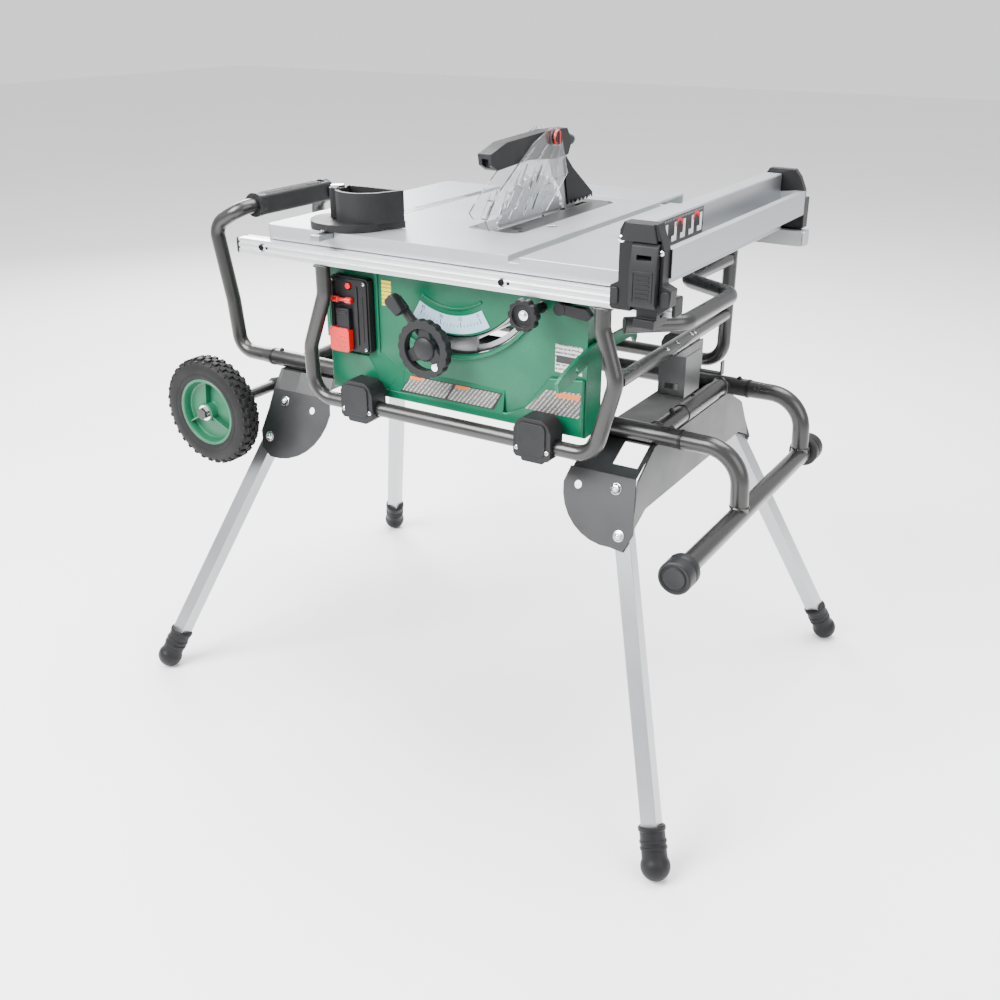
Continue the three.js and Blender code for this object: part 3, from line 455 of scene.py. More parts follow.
def bumpInto(tree, shader, height, depth, strength=1.0):
    bump = tree.nodes.new("ShaderNodeBump")
    bump.inputs["Strength"].default_value = strength
    bump.inputs["Distance"].default_value = depth * mm
    tree.links.new(height, bump.inputs["Height"])
    tree.links.new(bump.outputs[0], shader.inputs["Normal"])


def shade(colour, factor, lift=0.0):
    return tuple(min(1.0, c * factor + lift) for c in colour) + (1.0,)


def plastic(name, slot, colour, roughness=0.45, pits=900.0, depth=0.05, scuffs=0.25, **sockets):
    material, tree, shader, where = startMaterial(name, slot, **sockets)
    skin = placeGroup(tree, skinGroup, where, Pits=pits)
    worn = placeGroup(tree, wornGroup, where)
    base = mixColour(tree, skin["Rub"], shade(colour, 0.86), shade(colour, 1.12, 0.001))
    base = mixColour(tree, mathNode(tree, "MULTIPLY", worn["Scuff"], scuffs), base,
                     shade(colour, 1.3, 0.012))
    tree.links.new(base, shader.inputs["Base Color"])
    tree.links.new(rangeNode(tree, skin["Rub"], 0.0, 1.0, roughness + 0.06, roughness - 0.06),
                   shader.inputs["Roughness"])
    bumpInto(tree, shader, skin["Height"], depth)
    return material


def metal(name, slot, colour, roughness=0.35, lines=900.0, depth=0.02, spread=0.12, scuffs=0.3,
          metallic=1.0, **sockets):
    material, tree, shader, where = startMaterial(name, slot, Metallic=metallic, **sockets)
    grain = tree.nodes.new("ShaderNodeAttribute")
    grain.attribute_name = "grain"
    drawn = placeGroup(tree, metalGroup, grain.outputs["Vector"], Lines=lines)
    worn = placeGroup(tree, wornGroup, where)
    base = mixColour(tree, drawn["Tone"], shade(colour, 1 - spread), shade(colour, 1 + spread))
    base = mixColour(tree, mathNode(tree, "MULTIPLY", worn["Scuff"], scuffs), base, shade(colour, 0.7))
    tree.links.new(base, shader.inputs["Base Color"])
    tree.links.new(rangeNode(tree, drawn["Tone"], 0.2, 0.8, roughness - 0.07, roughness + 0.09),
                   shader.inputs["Roughness"])
    bumpInto(tree, shader, drawn["Height"], depth)
    return material


def paintedSteel(name, slot, colour, roughness=0.32, peel=260.0):
    # powder coat: orange peel, a fleck of metal and pale scuffs
    material, tree, shader, where = startMaterial(name, slot, Metallic=0.55, Coat_Weight=0.35,
                                                  Coat_Roughness=0.22)
    skin = placeGroup(tree, skinGroup, where, Pits=peel)
    worn = placeGroup(tree, wornGroup, where, Scale=90.0)
    fleck = rangeNode(tree, noiseNode(tree, where, 2600.0, 1.0), 0.4, 0.75, 0.0, 1.0)
    base = mixColour(tree, fleck, shade(colour, 0.85), shade(colour, 1.5))
    base = mixColour(tree, mathNode(tree, "MULTIPLY", worn["Scuff"], 0.35), base, shade(colour, 2.2))
    tree.links.new(base, shader.inputs["Base Color"])
    tree.links.new(rangeNode(tree, skin["Rub"], 0.0, 1.0, roughness + 0.08, roughness - 0.04),
                   shader.inputs["Roughness"])
    bumpInto(tree, shader, skin["Height"], 0.05)
    return material


def clearSheet(name, slot):
    material, tree, shader, where = startMaterial(name, slot, Transmission_Weight=0.97, IOR=1.46,
                                                  Metallic=0.0)
    worn = placeGroup(tree, wornGroup, where, Scale=120.0)
    base = mixColour(tree, worn["Dust"], (0.97, 0.98, 1.0, 1.0), (0.88, 0.9, 0.93, 1.0))
    tree.links.new(base, shader.inputs["Base Color"])
    tree.links.new(rangeNode(tree, worn["Scuff"], 0.0, 1.0, 0.03, 0.22), shader.inputs["Roughness"])
    bumpInto(tree, shader, worn["Dust"], 0.3, 0.5)
    return material


def printedLabel(name, slot, ground, ink, pitch=260.0, slant=0.6, amount=0.5, roughness=0.42):
    # rows of short dashes stand for small print
    material, tree, shader, where = startMaterial(name, slot)
    turn = tree.nodes.new("ShaderNodeMapping")
    turn.inputs["Rotation"].default_value = (0.0, slant, 0.0)
    turn.inputs["Scale"].default_value = (1.0, 0.0, 1.0)
    tree.links.new(where, turn.inputs["Vector"])
    rows = tree.nodes.new("ShaderNodeTexWave")
    rows.bands_direction = "Z"
    rows.inputs["Scale"].default_value = pitch / 6.3
    tree.links.new(turn.outputs[0], rows.inputs["Vector"])
    dashes = noiseNode(tree, turn.outputs[0], pitch * 1.2, 1.0)
    mask = mathNode(tree, "MULTIPLY", rangeNode(tree, rows.outputs["Fac"], 0.45, 0.6, 0.0, 1.0),
                    rangeNode(tree, dashes, 0.4, 0.5, 0.0, 1.0))
    mask = mathNode(tree, "MULTIPLY", mask, amount)
    tree.links.new(mixColour(tree, mask, ground + (1.0,), ink + (1.0,)), shader.inputs["Base Color"])
    worn = placeGroup(tree, wornGroup, where)
    tree.links.new(rangeNode(tree, worn["Dust"], 0.0, 1.0, roughness, roughness + 0.15),
                   shader.inputs["Roughness"])
    bumpInto(tree, shader, worn["Dust"], 0.05, 0.4)
    return material


framePaint = paintedSteel("framePaint", "frame_paint", (0.024, 0.0232, 0.023), 0.29)
bracketPaint = paintedSteel("bracketPaint", "frame_paint", (0.03, 0.0305, 0.032), 0.36, 420.0)
blackPlastic = plastic("blackPlastic", "grip_plastic", (0.007, 0.007, 0.008), 0.38,
                       Specular_IOR_Level=0.22)
softBlack = plastic("softBlack", "grip_plastic", (0.01, 0.0104, 0.0115), 0.46, 600.0, 0.08,
                    Specular_IOR_Level=0.22)
footRubber = plastic("footRubber", "foot_rubber", (0.006, 0.006, 0.007), 0.46, 500.0, 0.1,
                     Specular_IOR_Level=0.22)
tyreRubber = plastic("tyreRubber", "tyre_rubber", (0.007, 0.007, 0.0075), 0.6, 420.0, 0.2, 0.5,
                     Specular_IOR_Level=0.2)
greenShell = plastic("greenShell", "green_plastic", (0.0, 0.088, 0.042), 0.33, 1100.0, 0.03, 0.12,
                     Specular_IOR_Level=0.32)
greenWheel = plastic("greenWheel", "green_plastic", (0.003, 0.09, 0.04), 0.4, 900.0, 0.04, 0.1)
redPlastic = plastic("redPlastic", "red_plastic", (0.5, 0.002, 0.003), 0.28, 900.0, 0.03, 0.1)
legMetal = metal("legMetal", "leg_aluminium", (0.42, 0.43, 0.445), 0.3, 700.0, 0.015, 0.06)
railMetal = metal("railMetal", "rail_aluminium", (0.66, 0.67, 0.69), 0.32, 800.0, 0.015, 0.05)
fenceMetal = metal("fenceMetal", "rail_aluminium", (0.46, 0.475, 0.5), 0.38, 900.0, 0.015, 0.05)
castMetal = metal("castMetal", "table_cast", (0.36, 0.385, 0.4), 0.4, 420.0, 0.012, 0.05, 0.12, 0.75)
# near-white metal for the slot edges: bare metal, made much lighter than the cast top as a painted
# highlight
edgeMetal = metal("edgeMetal", "table_cast", (0.86, 0.87, 0.88), 0.22, 500.0, 0.01, 0.05)
plateSteel = metal("plateSteel", "machine_steel", (0.13, 0.13, 0.135), 0.34, 700.0, 0.02, 0.15)
machineSteel = metal("machineSteel", "machine_steel", (0.34, 0.345, 0.36), 0.3, 800.0, 0.02, 0.12)
darkSteel = metal("darkSteel", "machine_steel", (0.016, 0.016, 0.018), 0.34, 500.0, 0.02, 0.2)
chrome = metal("chrome", "machine_steel", (0.82, 0.82, 0.83), 0.14, 600.0, 0.005, 0.04)
bladeSteel = metal("bladeSteel", "blade_steel", (0.42, 0.43, 0.45), 0.24, 900.0, 0.01, 0.08)
carbide = metal("carbide", "blade_steel", (0.42, 0.41, 0.4), 0.3, 900.0, 0.01, 0.08)
clearPlastic = clearSheet("clearPlastic", "clear_plastic")
scaleLabel = plastic("scaleLabel", "green_plastic", (0.3, 0.44, 0.54), 0.4, 300.0, 0.01)
greyLabel = printedLabel("greyLabel", "green_plastic", (0.07, 0.068, 0.066), (0.36, 0.35, 0.34), 330.0,
                         0.9, 0.9)
orangeLabel = plastic("orangeLabel", "green_plastic", (0.6, 0.13, 0.015), 0.42, 300.0, 0.01)
yellowLabel = printedLabel("yellowLabel", "green_plastic", (0.62, 0.5, 0.01), (0.1, 0.08, 0.02), 300.0,
                           0.0, 0.75)
whiteLabel = printedLabel("whiteLabel", "green_plastic", (0.5, 0.51, 0.51), (0.02, 0.02, 0.02), 300.0,
                          0.0, 0.9)
inkBlack = plastic("inkBlack", "grip_plastic", (0.007, 0.007, 0.008), 0.35, 300.0, 0.01)
inkWhite = plastic("inkWhite", "grip_plastic", (0.6, 0.6, 0.6), 0.4, 300.0, 0.01)
print("finishes made")


# repeats, by Geometry Nodes

def treeStart(name, inputs):
    tree = bpy.data.node_groups.new(name, "GeometryNodeTree")
    tree.interface.new_socket(name="Geometry", in_out="OUTPUT", socket_type="NodeSocketGeometry")
    for label, kind in inputs:
        tree.interface.new_socket(name=label, in_out="INPUT", socket_type=kind)
    return tree, tree.nodes.new("NodeGroupInput").outputs, tree.nodes.new("NodeGroupOutput").inputs[0]


def treeEnd(tree, given, geometry, result):
    real = tree.nodes.new("GeometryNodeRealizeInstances")
    paint = tree.nodes.new("GeometryNodeSetMaterial")
    tree.links.new(geometry, real.inputs[0])
    tree.links.new(real.outputs[0], paint.inputs["Geometry"])
    tree.links.new(given["Finish"], paint.inputs["Material"])
    tree.links.new(paint.outputs[0], result)
    return tree


def itemSource(tree, given):
    info = tree.nodes.new("GeometryNodeObjectInfo")
    tree.links.new(given["Item"], info.inputs["Object"])
    return info.outputs["Geometry"]


def rowTree():
    tree, given, result = treeStart("rowOfItems",
                                    [("Item", "NodeSocketObject"), ("Count", "NodeSocketInt"),
                                                   ("Start", "NodeSocketVector"),
                                     ("Step", "NodeSocketVector"),
                                                   ("Finish", "NodeSocketMaterial")])
    line = tree.nodes.new("GeometryNodeMeshLine")
    for label, socket in (("Count", "Count"), ("Start", "Start Location"), ("Step", "Offset")):
        tree.links.new(given[label], line.inputs[socket])
    place = tree.nodes.new("GeometryNodeInstanceOnPoints")
    tree.links.new(line.outputs[0], place.inputs["Points"])
    tree.links.new(itemSource(tree, given), place.inputs["Instance"])
    return treeEnd(tree, given, place.outputs[0], result)


def ringTree():
    # items round a circle about Z, each turned with its place, then stood on the ring's own axis
    tree, given, result = treeStart("ringOfItems",
                                    [("Item", "NodeSocketObject"), ("Count", "NodeSocketInt"),
                                                    ("First", "NodeSocketFloat"),
                                     ("Pitch", "NodeSocketFloat"),
                                                    ("Centre", "NodeSocketVector"),
                                     ("Turn", "NodeSocketVector"),
                                                    ("Finish", "NodeSocketMaterial")])
    line = tree.nodes.new("GeometryNodeMeshLine")
    tree.links.new(given["Count"], line.inputs["Count"])
    line.inputs["Offset"].default_value = (0, 0, 0)
    index = tree.nodes.new("GeometryNodeInputIndex")
    angle = mathNode(tree, "ADD", mathNode(tree, "MULTIPLY", index.outputs[0], given["Pitch"]),
                     given["First"])
    spin = tree.nodes.new("ShaderNodeCombineXYZ")
    tree.links.new(angle, spin.inputs["Z"])
    place = tree.nodes.new("GeometryNodeInstanceOnPoints")
    tree.links.new(line.outputs[0], place.inputs["Points"])
    tree.links.new(itemSource(tree, given), place.inputs["Instance"])
    tree.links.new(spin.outputs[0], place.inputs["Rotation"])
    stand = tree.nodes.new("GeometryNodeTransform")
    tree.links.new(place.outputs[0], stand.inputs["Geometry"])
    tree.links.new(given["Centre"], stand.inputs["Translation"])
    tree.links.new(given["Turn"], stand.inputs["Rotation"])
    return treeEnd(tree, given, stand.outputs[0], result)


def repeated(name, tree, item, node, finish, bevel=0.0, slot=None, **settings):
    # lengths in the settings are in metres and angles in radians
    source = scratchObject(meshOf(item, "item"))
    if bevel:
        softener = source.modifiers.new("bevel", "BEVEL")
        softener.width, softener.segments, softener.limit_method = bevel * mm, 1, "ANGLE"
        source.data = evaluated(source)
        source.modifiers.clear()
    piece = scratchObject(bpy.data.meshes.new(name))
    piece.name = name
    maker = piece.modifiers.new("repeat", "NODES")
    maker.node_group = tree
    sockets = {s.name: s.identifier for s in tree.interface.items_tree if s.in_out == "INPUT"}
    for label, value in {**settings, "Item": source, "Finish": finish}.items():
        maker[sockets[label]] = value
    mesh = evaluated(piece)
    piece.modifiers.clear()
    mesh.materials.clear()
    mesh.materials.append(finish)
    mesh.polygons.foreach_set("material_index", [0] * len(mesh.polygons))
    piece.data = mesh
    bpy.data.objects.remove(source)
    settle(piece, name, 38, None)
    return joined(piece, node, False)


rowOfItems, ringOfItems = rowTree(), ringTree()
print("repeats ready")


# stand

stand = dict(crossIn=(51, 74), button=4.6, buttonHeight=5, bead=2.2,
             sleeve=(-38, 96), sleeveButtons=(-70, 20))  # the telescoping cross tube, across the stand
frameLow, frameHigh = corners("stand_frame")
railRadius = (frameHigh.z - frameLow.z) / 2
railZ = (frameHigh.z + frameLow.z) / 2
railY = frameHigh.y - railRadius


def weldBead(spot, along, radius, size=2.2, sides=40):
    ring = [(radius - size * 0.4, -size), (radius + size * 0.5, -size * 0.8), (radius + size, 0),
            (radius + size * 0.5, size * 0.8), (radius - size * 0.4, size)]
    return turned(ring, spot, along, sides, 0, True)


def snapButton(spot):
    return dome(spot, (0, 0, 1), stand["button"], stand["buttonHeight"], 20, 1)


def buildStandFrame():
    shape = Shape()
    crossX = (frameHigh.x - stand["crossIn"][0], frameLow.x + stand["crossIn"][1])
    for side in (-1, 1):
        y = side * railY
        shape += rod((frameLow.x, y, railZ), (frameHigh.x, y, railZ), railRadius, 40, chamfer=0.8)
        for x, out in ((frameLow.x, 1), (frameHigh.x, -1)):
            shape += turned([(railRadius - 1, -1.5), (railRadius + 0.9, -1.5), (railRadius + 0.9, 3.5),
                             (railRadius - 1, 3.5)], (x, y, railZ), (out, 0, 0), 40, 1, True)
            shape += snapButton((x + out * 20, y, railZ + railRadius - 0.6))
        for x in crossX:
            shape += weldBead((x, side * (railY - railRadius + 1), railZ), (0, 1, 0), railRadius - 1,
                              stand["bead"])
    for x in crossX:
        shape += rod((x, -railY, railZ), (x, railY, railZ), railRadius - 1, 36)
    x = crossX[0]
    near, far = stand["sleeve"]
    shape += rod((x, near, railZ), (x, far, railZ), railRadius + 0.6, 36, chamfer=0.8)
    for y in stand["sleeveButtons"]:
        shape += snapButton((x - 5, y, railZ + railRadius - 1.6))
    makePiece("standFrame", shape, "stand_frame", [framePaint, blackPlastic])


handleBar = dict(tube=14, bend=34, knees=((-86, 0), (-96, 99), (-126, 243)), gripLift=10,
                 ribs=22, ribPitch=7.5)


def buildHandle():
    tubeRight = corners("handle_tube")[1].x
    grip = middle("handle_grip")
    half = []
    for side in (-1, 1):
        y = side * railY
        route = [(tubeRight, y, railZ)] + [(frameLow.x + dx, y, railZ + dz) for dx,
                                           dz in handleBar["knees"]]
        half.append(route + [(grip.x, side * (railY - handleBar["gripLift"]), grip.z)])
    shape = tube(half[0] + half[1][::-1], handleBar["tube"], handleBar["bend"], 32)
    for side in (-1, 1):  # swaged neck into the rail; the spring button beside it is made with the stand frame
        y = side * railY
        shape += rod((tubeRight, y, railZ), (tubeRight - 22, y, railZ), railRadius - 0.4, 36,
                     handleBar["tube"] + 0.2, chamfer=0.4)
    makePiece("handleTube", shape, "handle_tube", [framePaint])

    makePiece("handleGrip", cadShape("handle_grip"), "handle_grip", [softBlack], bevel=1.6, segments=3)
    rib = prism(roundedOutline(-13, 13, -1.2, 1.2, 1.1, 2), "z", -0.4, 1.4)
    pitch, count = handleBar["ribPitch"], handleBar["ribs"]
    repeated("gripRibs", rowOfItems, rib, "handle_grip", softBlack, Count=count,
             Start=(grip.x * mm, -pitch * (count - 1) / 2 * mm, (grip.z + 19) * mm),
             Step=(0, pitch * mm, 0))


footRail = dict(tube=16, arm=15, bend=60, knee=-5)


def buildFootBar():
    low, high = corners("foot_bar")
    x, z = high.x - footRail["tube"], low.z + footRail["tube"]
    shape = rod((x, low.y, z), (x, high.y, z), footRail["tube"], 40, chamfer=0.5)
    for side in (-1, 1):
        y = side * railY
        shape += tube([(low.x, y, railZ), (x + footRail["knee"], y, railZ), (x, y, z)], footRail["arm"],
                      footRail["bend"], 32)
        shape += weldBead((x, y, z + footRail["tube"] - 0.6), (0, 0, 1), footRail["arm"] - 0.6, 2.4)
        shape += rod((low.x, y, railZ), (low.x + 22, y, railZ), railRadius - 0.4, 36,
                     footRail["arm"] + 0.2, chamfer=0.4)
    makePiece("footBar", shape, "foot_bar", [framePaint])
    for end, side in (("front", -1), ("rear", 1)):
        node = f"foot_bar_cap_{end}"
        cLow, cHigh = corners(node)
        face = (x, cLow.y if side < 0 else cHigh.y, z)
        r, deep = (cHigh.z - cLow.z) / 2, cHigh.y - cLow.y
        inner = footRail["tube"] + 0.4
        cap = turned([(0, 2.2), (11, 2.2), (12.5, 1.2), (r - 9.5, 1.2), (r - 8, 3), (r - 6, 3),
                      (r - 4.5, 0.6),
                      (r - 2.5, 0.2), (r - 0.6, 1.6), (r, 4), (r, deep * 0.52), (r - 1.2, deep * 0.56),
                      (r - 1.2, deep * 0.62), (r, deep * 0.66), (r, deep - 3), (r - 1.5, deep - 1),
                      (r - 4, deep), (inner, deep), (inner, 12), (0, 12)], face, (0, -side, 0), 56)
        screw = dome((x - r * 0.62, face[1] - side * deep * 0.8, z + r * 0.76), (-0.62, 0, 0.76), 3.4,
                     1.5, 16, 1)
        makePiece(f"footBarCap{end.title()}", cap + screw, node, [softBlack, darkSteel])


# A leg hangs in a plane that leans out from the bracket; u points to the stand's end, v down the plane.
legSet = dict(pivotX=368, pivotZ=548, pivotY={"left": 176, "right": 220}, ballZ=23, splayX=192,
              splayY=214, square=27, plate=3, ball=24, sleeve=20.5)


def legStation(hand, end):
    sideX, sideY = (-1 if hand == "left" else 1), (-1 if end == "front" else 1)
    drop = legSet["pivotZ"] - legSet["ballZ"]
    lean = math.atan(legSet["splayY"] / drop)
    slope = math.hypot(legSet["splayY"], drop)
    u = Vector((sideX, 0, 0))
    v = Vector((0, sideY * math.sin(lean), -math.cos(lean)))
    out = Vector((0, sideY * math.cos(lean), math.sin(lean)))
    origin = Vector((sideX * legSet["pivotX"], sideY * legSet["pivotY"][hand], legSet["pivotZ"]))
    angle = math.atan(legSet["splayX"] / slope)
    along = u * math.sin(angle) + v * math.cos(angle)
    return origin, u, v, out, along, math.hypot(legSet["splayX"], slope)


def lockPin(spot, out):
    # a domed chrome bolt on its washer
    return (turned([(0, 0), (9.5, 0), (9.5, 1), (8.5, 1.6), (0, 1.6)], spot, out, 32, 1)
            + hexNut(spot + out * 1.4, out, 6.6, 3.2, 1) + dome(spot + out * 4.4, out, 4.2, 2.6, 20, 1))


def buildLegBrackets():
    face = legSet["square"] / 2 + 0.3 + legSet["plate"]
    for hand in ("left", "right"):
        node = f"leg_bracket_{hand}"
        shape = cadShape(node)
        makePiece(f"legBracket{hand.title()}", shape, node, [bracketPaint], bevel=0.9, segments=2)
        bolts = Shape()
        for end in ("front", "rear"):
            origin, u, v, out = legStation(hand, end)[:4]
            bolts += lockPin(origin + out * (face - 0.2), out)
            bolts += lockPin(origin + u * 21 + v * 73 + out * (face - 0.2), out)
        bolts = bolts.wearing(0)
        makePiece(f"bracketBolts{hand.title()}", bolts, node, [chrome], stands=False)


def buildLegs():
    for hand in ("left", "right"):
        for end in ("front", "rear"):
            origin, _, _, out, along, long = legStation(hand, end)
            title = end.title() + hand.title()
            makePiece(f"leg{title}", cadShape(f"leg_{end}_{hand}"), f"leg_{end}_{hand}", [legMetal],
                      bevel=1.8, segments=3, along=along)
            ball, r, sleeve = origin + along * long, legSet["ball"], legSet["sleeve"]
            profile = [(0, -r)] + [(r * math.cos(t), r * math.sin(t)) for t in
                                   (math.radians(a) for a in range(-80, 31, 10))]
            profile += [(sleeve, r * 0.74), (sleeve, 26), (sleeve + 1.4, 27), (sleeve + 1.4, 31),
                        (sleeve, 32),
                        (sleeve, 36), (sleeve + 1.4, 37), (sleeve + 1.4, 41), (sleeve, 42), (sleeve, 55),
                        (sleeve + 1.8, 57), (sleeve + 1.8, 62), (sleeve, 64), (0, 64)]
            boot = turned(profile, ball, -along, 48)
            hollow = legSet["square"] / 2 + 0.2
            across = out.cross(along).normalized()
            frameOf = Matrix.Identity(4)
            for column, axis in enumerate((across, out, -along)):
                for row in range(3):
                    frameOf[row][column] = axis[row]
            frameOf.translation = ball
            socket = box(-hollow, hollow, -hollow, hollow, 18, 90).placed(frameOf)
            boot = carved(boot, socket, box(-900, 900, -900, 900, -90, 0))
            makePiece(f"foot{title}", boot, f"leg_foot_{end}_{hand}", [footRubber])


wheelSet = dict(knob=3.6, rowIn=13, count=34, sideKnobs=34, shoulderIn=6.2, rimEdge=65.5,
                spokes=(90, 210, 330), bore=8.8, hub=19)


def buildWheels():
    for end, side in (("front", -1), ("rear", 1)):
        low, high = corners(f"wheel_tyre_{end}")
        hub = middle(f"wheel_tyre_{end}")
        r, wide = (high.z - low.z) / 2, high.y - low.y
        face = (hub.x, low.y if side < 0 else high.y, hub.z)
        inward = Vector((0, -side, 0))
        tread = r - wheelSet["knob"]
        inner = wheelSet["rimEdge"] + 0.3
        wall = [(inner, 4), (inner + 3, 2.5), (inner + 8, 1.2), (inner + 10, 2.2), (inner + 12, 1.0),
                (tread - 16, 0.6), (tread - 9, 1.4), (tread - 4, 3.6), (tread - 1, 8), (tread, 14)]
        profile = wall + [(tread + 0.7, wide / 2)] + [(rr, wide - h) for rr, h in reversed(wall)]
        makePiece(f"tyre{end.title()}", turned(profile, face, inward, 96, 0, True), f"wheel_tyre_{end}",
                  [tyreRubber], edge=50)
        turn = (math.pi / 2, 0, 0) if side < 0 else (-math.pi / 2, 0, 0)
        block = box(tread - 2.5, r, -5.4, 5.4, -5, 5)
        shoulder = prism([(tread - 13, -6), (tread - 1.5, -1.5), (tread - 1.5, 5.0), (tread - 12, 2.2)],
                         "y", -3.6, 3.6)
        pitch = math.tau / wheelSet["count"]
        for row, (height, first) in enumerate(((wheelSet["rowIn"], 0.0), (wide / 2, 0.5),
                                               (wide - wheelSet["rowIn"], 0.0))):
            repeated(f"treadRow{row}{end.title()}", ringOfItems, block, f"wheel_tyre_{end}", tyreRubber,
                     bevel=0.9, Count=wheelSet["count"], First=first * pitch, Pitch=pitch,
                     Centre=(hub.x * mm, (face[1] - side * height) * mm, hub.z * mm), Turn=turn)
        pitch = math.tau / wheelSet["sideKnobs"]
        for row, depth in enumerate((wheelSet["shoulderIn"], wide - wheelSet["shoulderIn"])):
            flip = shoulder if row == 0 else shoulder.placed(Matrix.Scale(-1, 4, (0, 0, 1)))
            repeated(f"shoulderRow{row}{end.title()}", ringOfItems, flip, f"wheel_tyre_{end}",
                     tyreRubber, bevel=0.7, Count=wheelSet["sideKnobs"], First=0.25 * pitch, Pitch=pitch,
                     Centre=(hub.x * mm, (face[1] - side * depth) * mm, hub.z * mm), Turn=turn)

        rim = wheelSet["rimEdge"]
        bore, hubRadius = wheelSet["bore"], wheelSet["hub"]
        dish = [(bore, 1), (hubRadius - 4, 1), (hubRadius - 2, 2), (hubRadius, 13), (hubRadius + 2, 16.5),
                (rim - 15, 20), (rim - 10, 18), (rim - 7, 6), (rim - 5, 3.6), (rim - 1, 3), (rim, 4),
                (rim, wide - 3),
                (rim - 6, wide - 3), (rim - 8, 28), (hubRadius + 3, 28), (hubRadius, 31),
                (hubRadius, wide - 1), (bore, wide - 1)]
        shape = turned(dish, face, inward, 72, 0, True)
        for angle in wheelSet["spokes"]:
            rib = prism([(hubRadius - 5, 4), (rim - 7, 8), (rim - 7, 19), (hubRadius - 5, 19)], "y",
                        -1.6, 1.6)
            rib = rib.placed(Matrix.Rotation(math.radians(angle), 4, "Z"))
            shape += rib.placed(Matrix.Translation(face) @ uprightTo(inward))
        makePiece(f"rim{end.title()}", shape, f"wheel_rim_{end}", [greenWheel], bevel=0.5, segments=2,
                  limit=50)
        nut = hexNut(Vector(face) + inward * 1, -inward, 10.5, 7)
        nut += dome(Vector(face) - inward * 5, -inward, 6, 4, 24)
        nut += turned([(0, 0), (15, 0), (15, 1.6), (0, 1.6)], Vector(face) + inward * 1.2, -inward, 36)
        makePiece(f"axleNut{end.title()}", nut, "wheel_frame", [chrome], stands=False)
    makePiece("wheelFrame", cadShape("wheel_frame"), "wheel_frame", [framePaint], bevel=0.8, segments=2)


buildStandFrame()
buildHandle()
buildFootBar()
buildLegBrackets()
buildLegs()
buildWheels()
print("stand made")


# roll cage

cageSet = dict(tube=12.7, bend=40, tab=(30, 22, 3), left=-168, frontRight=360, rearRight=340,
               liftX=447, liftZ=828, bracketScrews=(0.36, 0.45, 0.585, 0.615))
clampSet = dict(drop=26, screwX=27, screwZ=-4)
frontY, rearY = middle("cage_front").y, corners("cage_rear")[1].y - cageSet["tube"]
sideBar = ((382, frontY + cageSet["tube"] + 2, 748), (cageSet["rearRight"], rearY, 722))


def crossScrew(spot, along, radius=4.2, finish=1):
    # a pan head with a cross recess
    spot, along = Vector(spot), Vector(along).normalized()
    head = turned([(0, 0), (radius, 0), (radius, 0.9), (radius * 0.8, 2.0), (radius * 0.4, 2.5),
                   (0, 2.6)],
                  spot, along, 24, finish)
    side = along.orthogonal().normalized()
    other = along.cross(side)
    for a, b in ((side, other), (other, side)):
        bar = box(-radius * 0.55, radius * 0.55, -0.45, 0.45, 1.9, 2.75, 2)
        turn = Matrix((a.to_4d(), b.to_4d(), along.to_4d(), (0, 0, 0, 1)))
        turn.transpose()
        for row in range(3):
            turn[row][3], turn[3][row] = spot[row], 0.0
        head += bar.placed(turn)
    return head


def cageLoop(y, points):
    return tube([(x, y, z) for x, z in points], cageSet["tube"], cageSet["bend"], 32)


def topTab(x, y, top):
    # the flattened end that bolts under the rail
    wide, deep, thick = cageSet["tab"]
    tab = prism(roundedOutline(x - wide / 2, x + wide / 2, y - deep / 2, y + deep / 2, 6), "z",
                top - thick, top - 0.2)
    return tab + hexNut((x, y - deep * 0.28, top - thick), (0, 0, -1), 5, 4, 1)


def buildCage():
    low, high = corners("cage_front")
    top = high.z
    base = low.z + cageSet["tube"]
    leftX, frontX, rearX = cageSet["left"], cageSet["frontRight"], cageSet["rearRight"]
    left = [(leftX, top), (leftX, 812), (-205, 716), (-203, base)]
    front = cageLoop(frontY, left + [(352, base), (386, 750), (frontX, 830), (frontX, top)])
    for x in (leftX, frontX):
        front += topTab(x, frontY, top)
    makePiece("cageFront", front, "cage_front", [framePaint, chrome])
    rear = cageLoop(rearY, left + [(rearX, base), (rearX, top)])
    for x in (leftX, rearX):
        rear += topTab(x, rearY, top)
    rear += rod(*sideBar, cageSet["tube"] - 1, 32)
    liftX, liftZ = cageSet["liftX"], cageSet["liftZ"]
    rear += tube([(376, -250, liftZ), (liftX, -190, liftZ), (liftX, 10, liftZ), (336, 70, liftZ),
                  (rearX, rearY, liftZ)], cageSet["tube"], cageSet["bend"], 32)
    for z, thin in ((liftZ, 0.6), (722.5, 1.6)):
        rear += weldBead((rearX, rearY - cageSet["tube"] * 0.75, z), (0, 1, 0), cageSet["tube"] - thin)
    makePiece("cageRear", rear, "cage_rear", [framePaint, chrome])
    bracket = cadShape("storage_bracket")
    bLow = corners("storage_bracket")[0]
    window = box(bLow.x + 12, bLow.x + 36, bLow.y - 5, bLow.y + 8, bLow.z + 12, bLow.z + 22)
    makePiece("storageBracket", carved(bracket, window), "storage_bracket", [bracketPaint], bevel=0.7)
    hanger = Vector(sideBar[1]) - Vector(sideBar[0])
    screws, out = Shape(), Vector((0.68, 0, 0.73))
    for share in cageSet["bracketScrews"]:
        spot = Vector(sideBar[0]) + hanger * share
        screws += crossScrew(spot + out * (cageSet["tube"] - 1.2), out, 3.4, 0)
    makePiece("sideBarScrews", screws, "cage_rear", [chrome, darkSteel, darkSteel], stands=False)


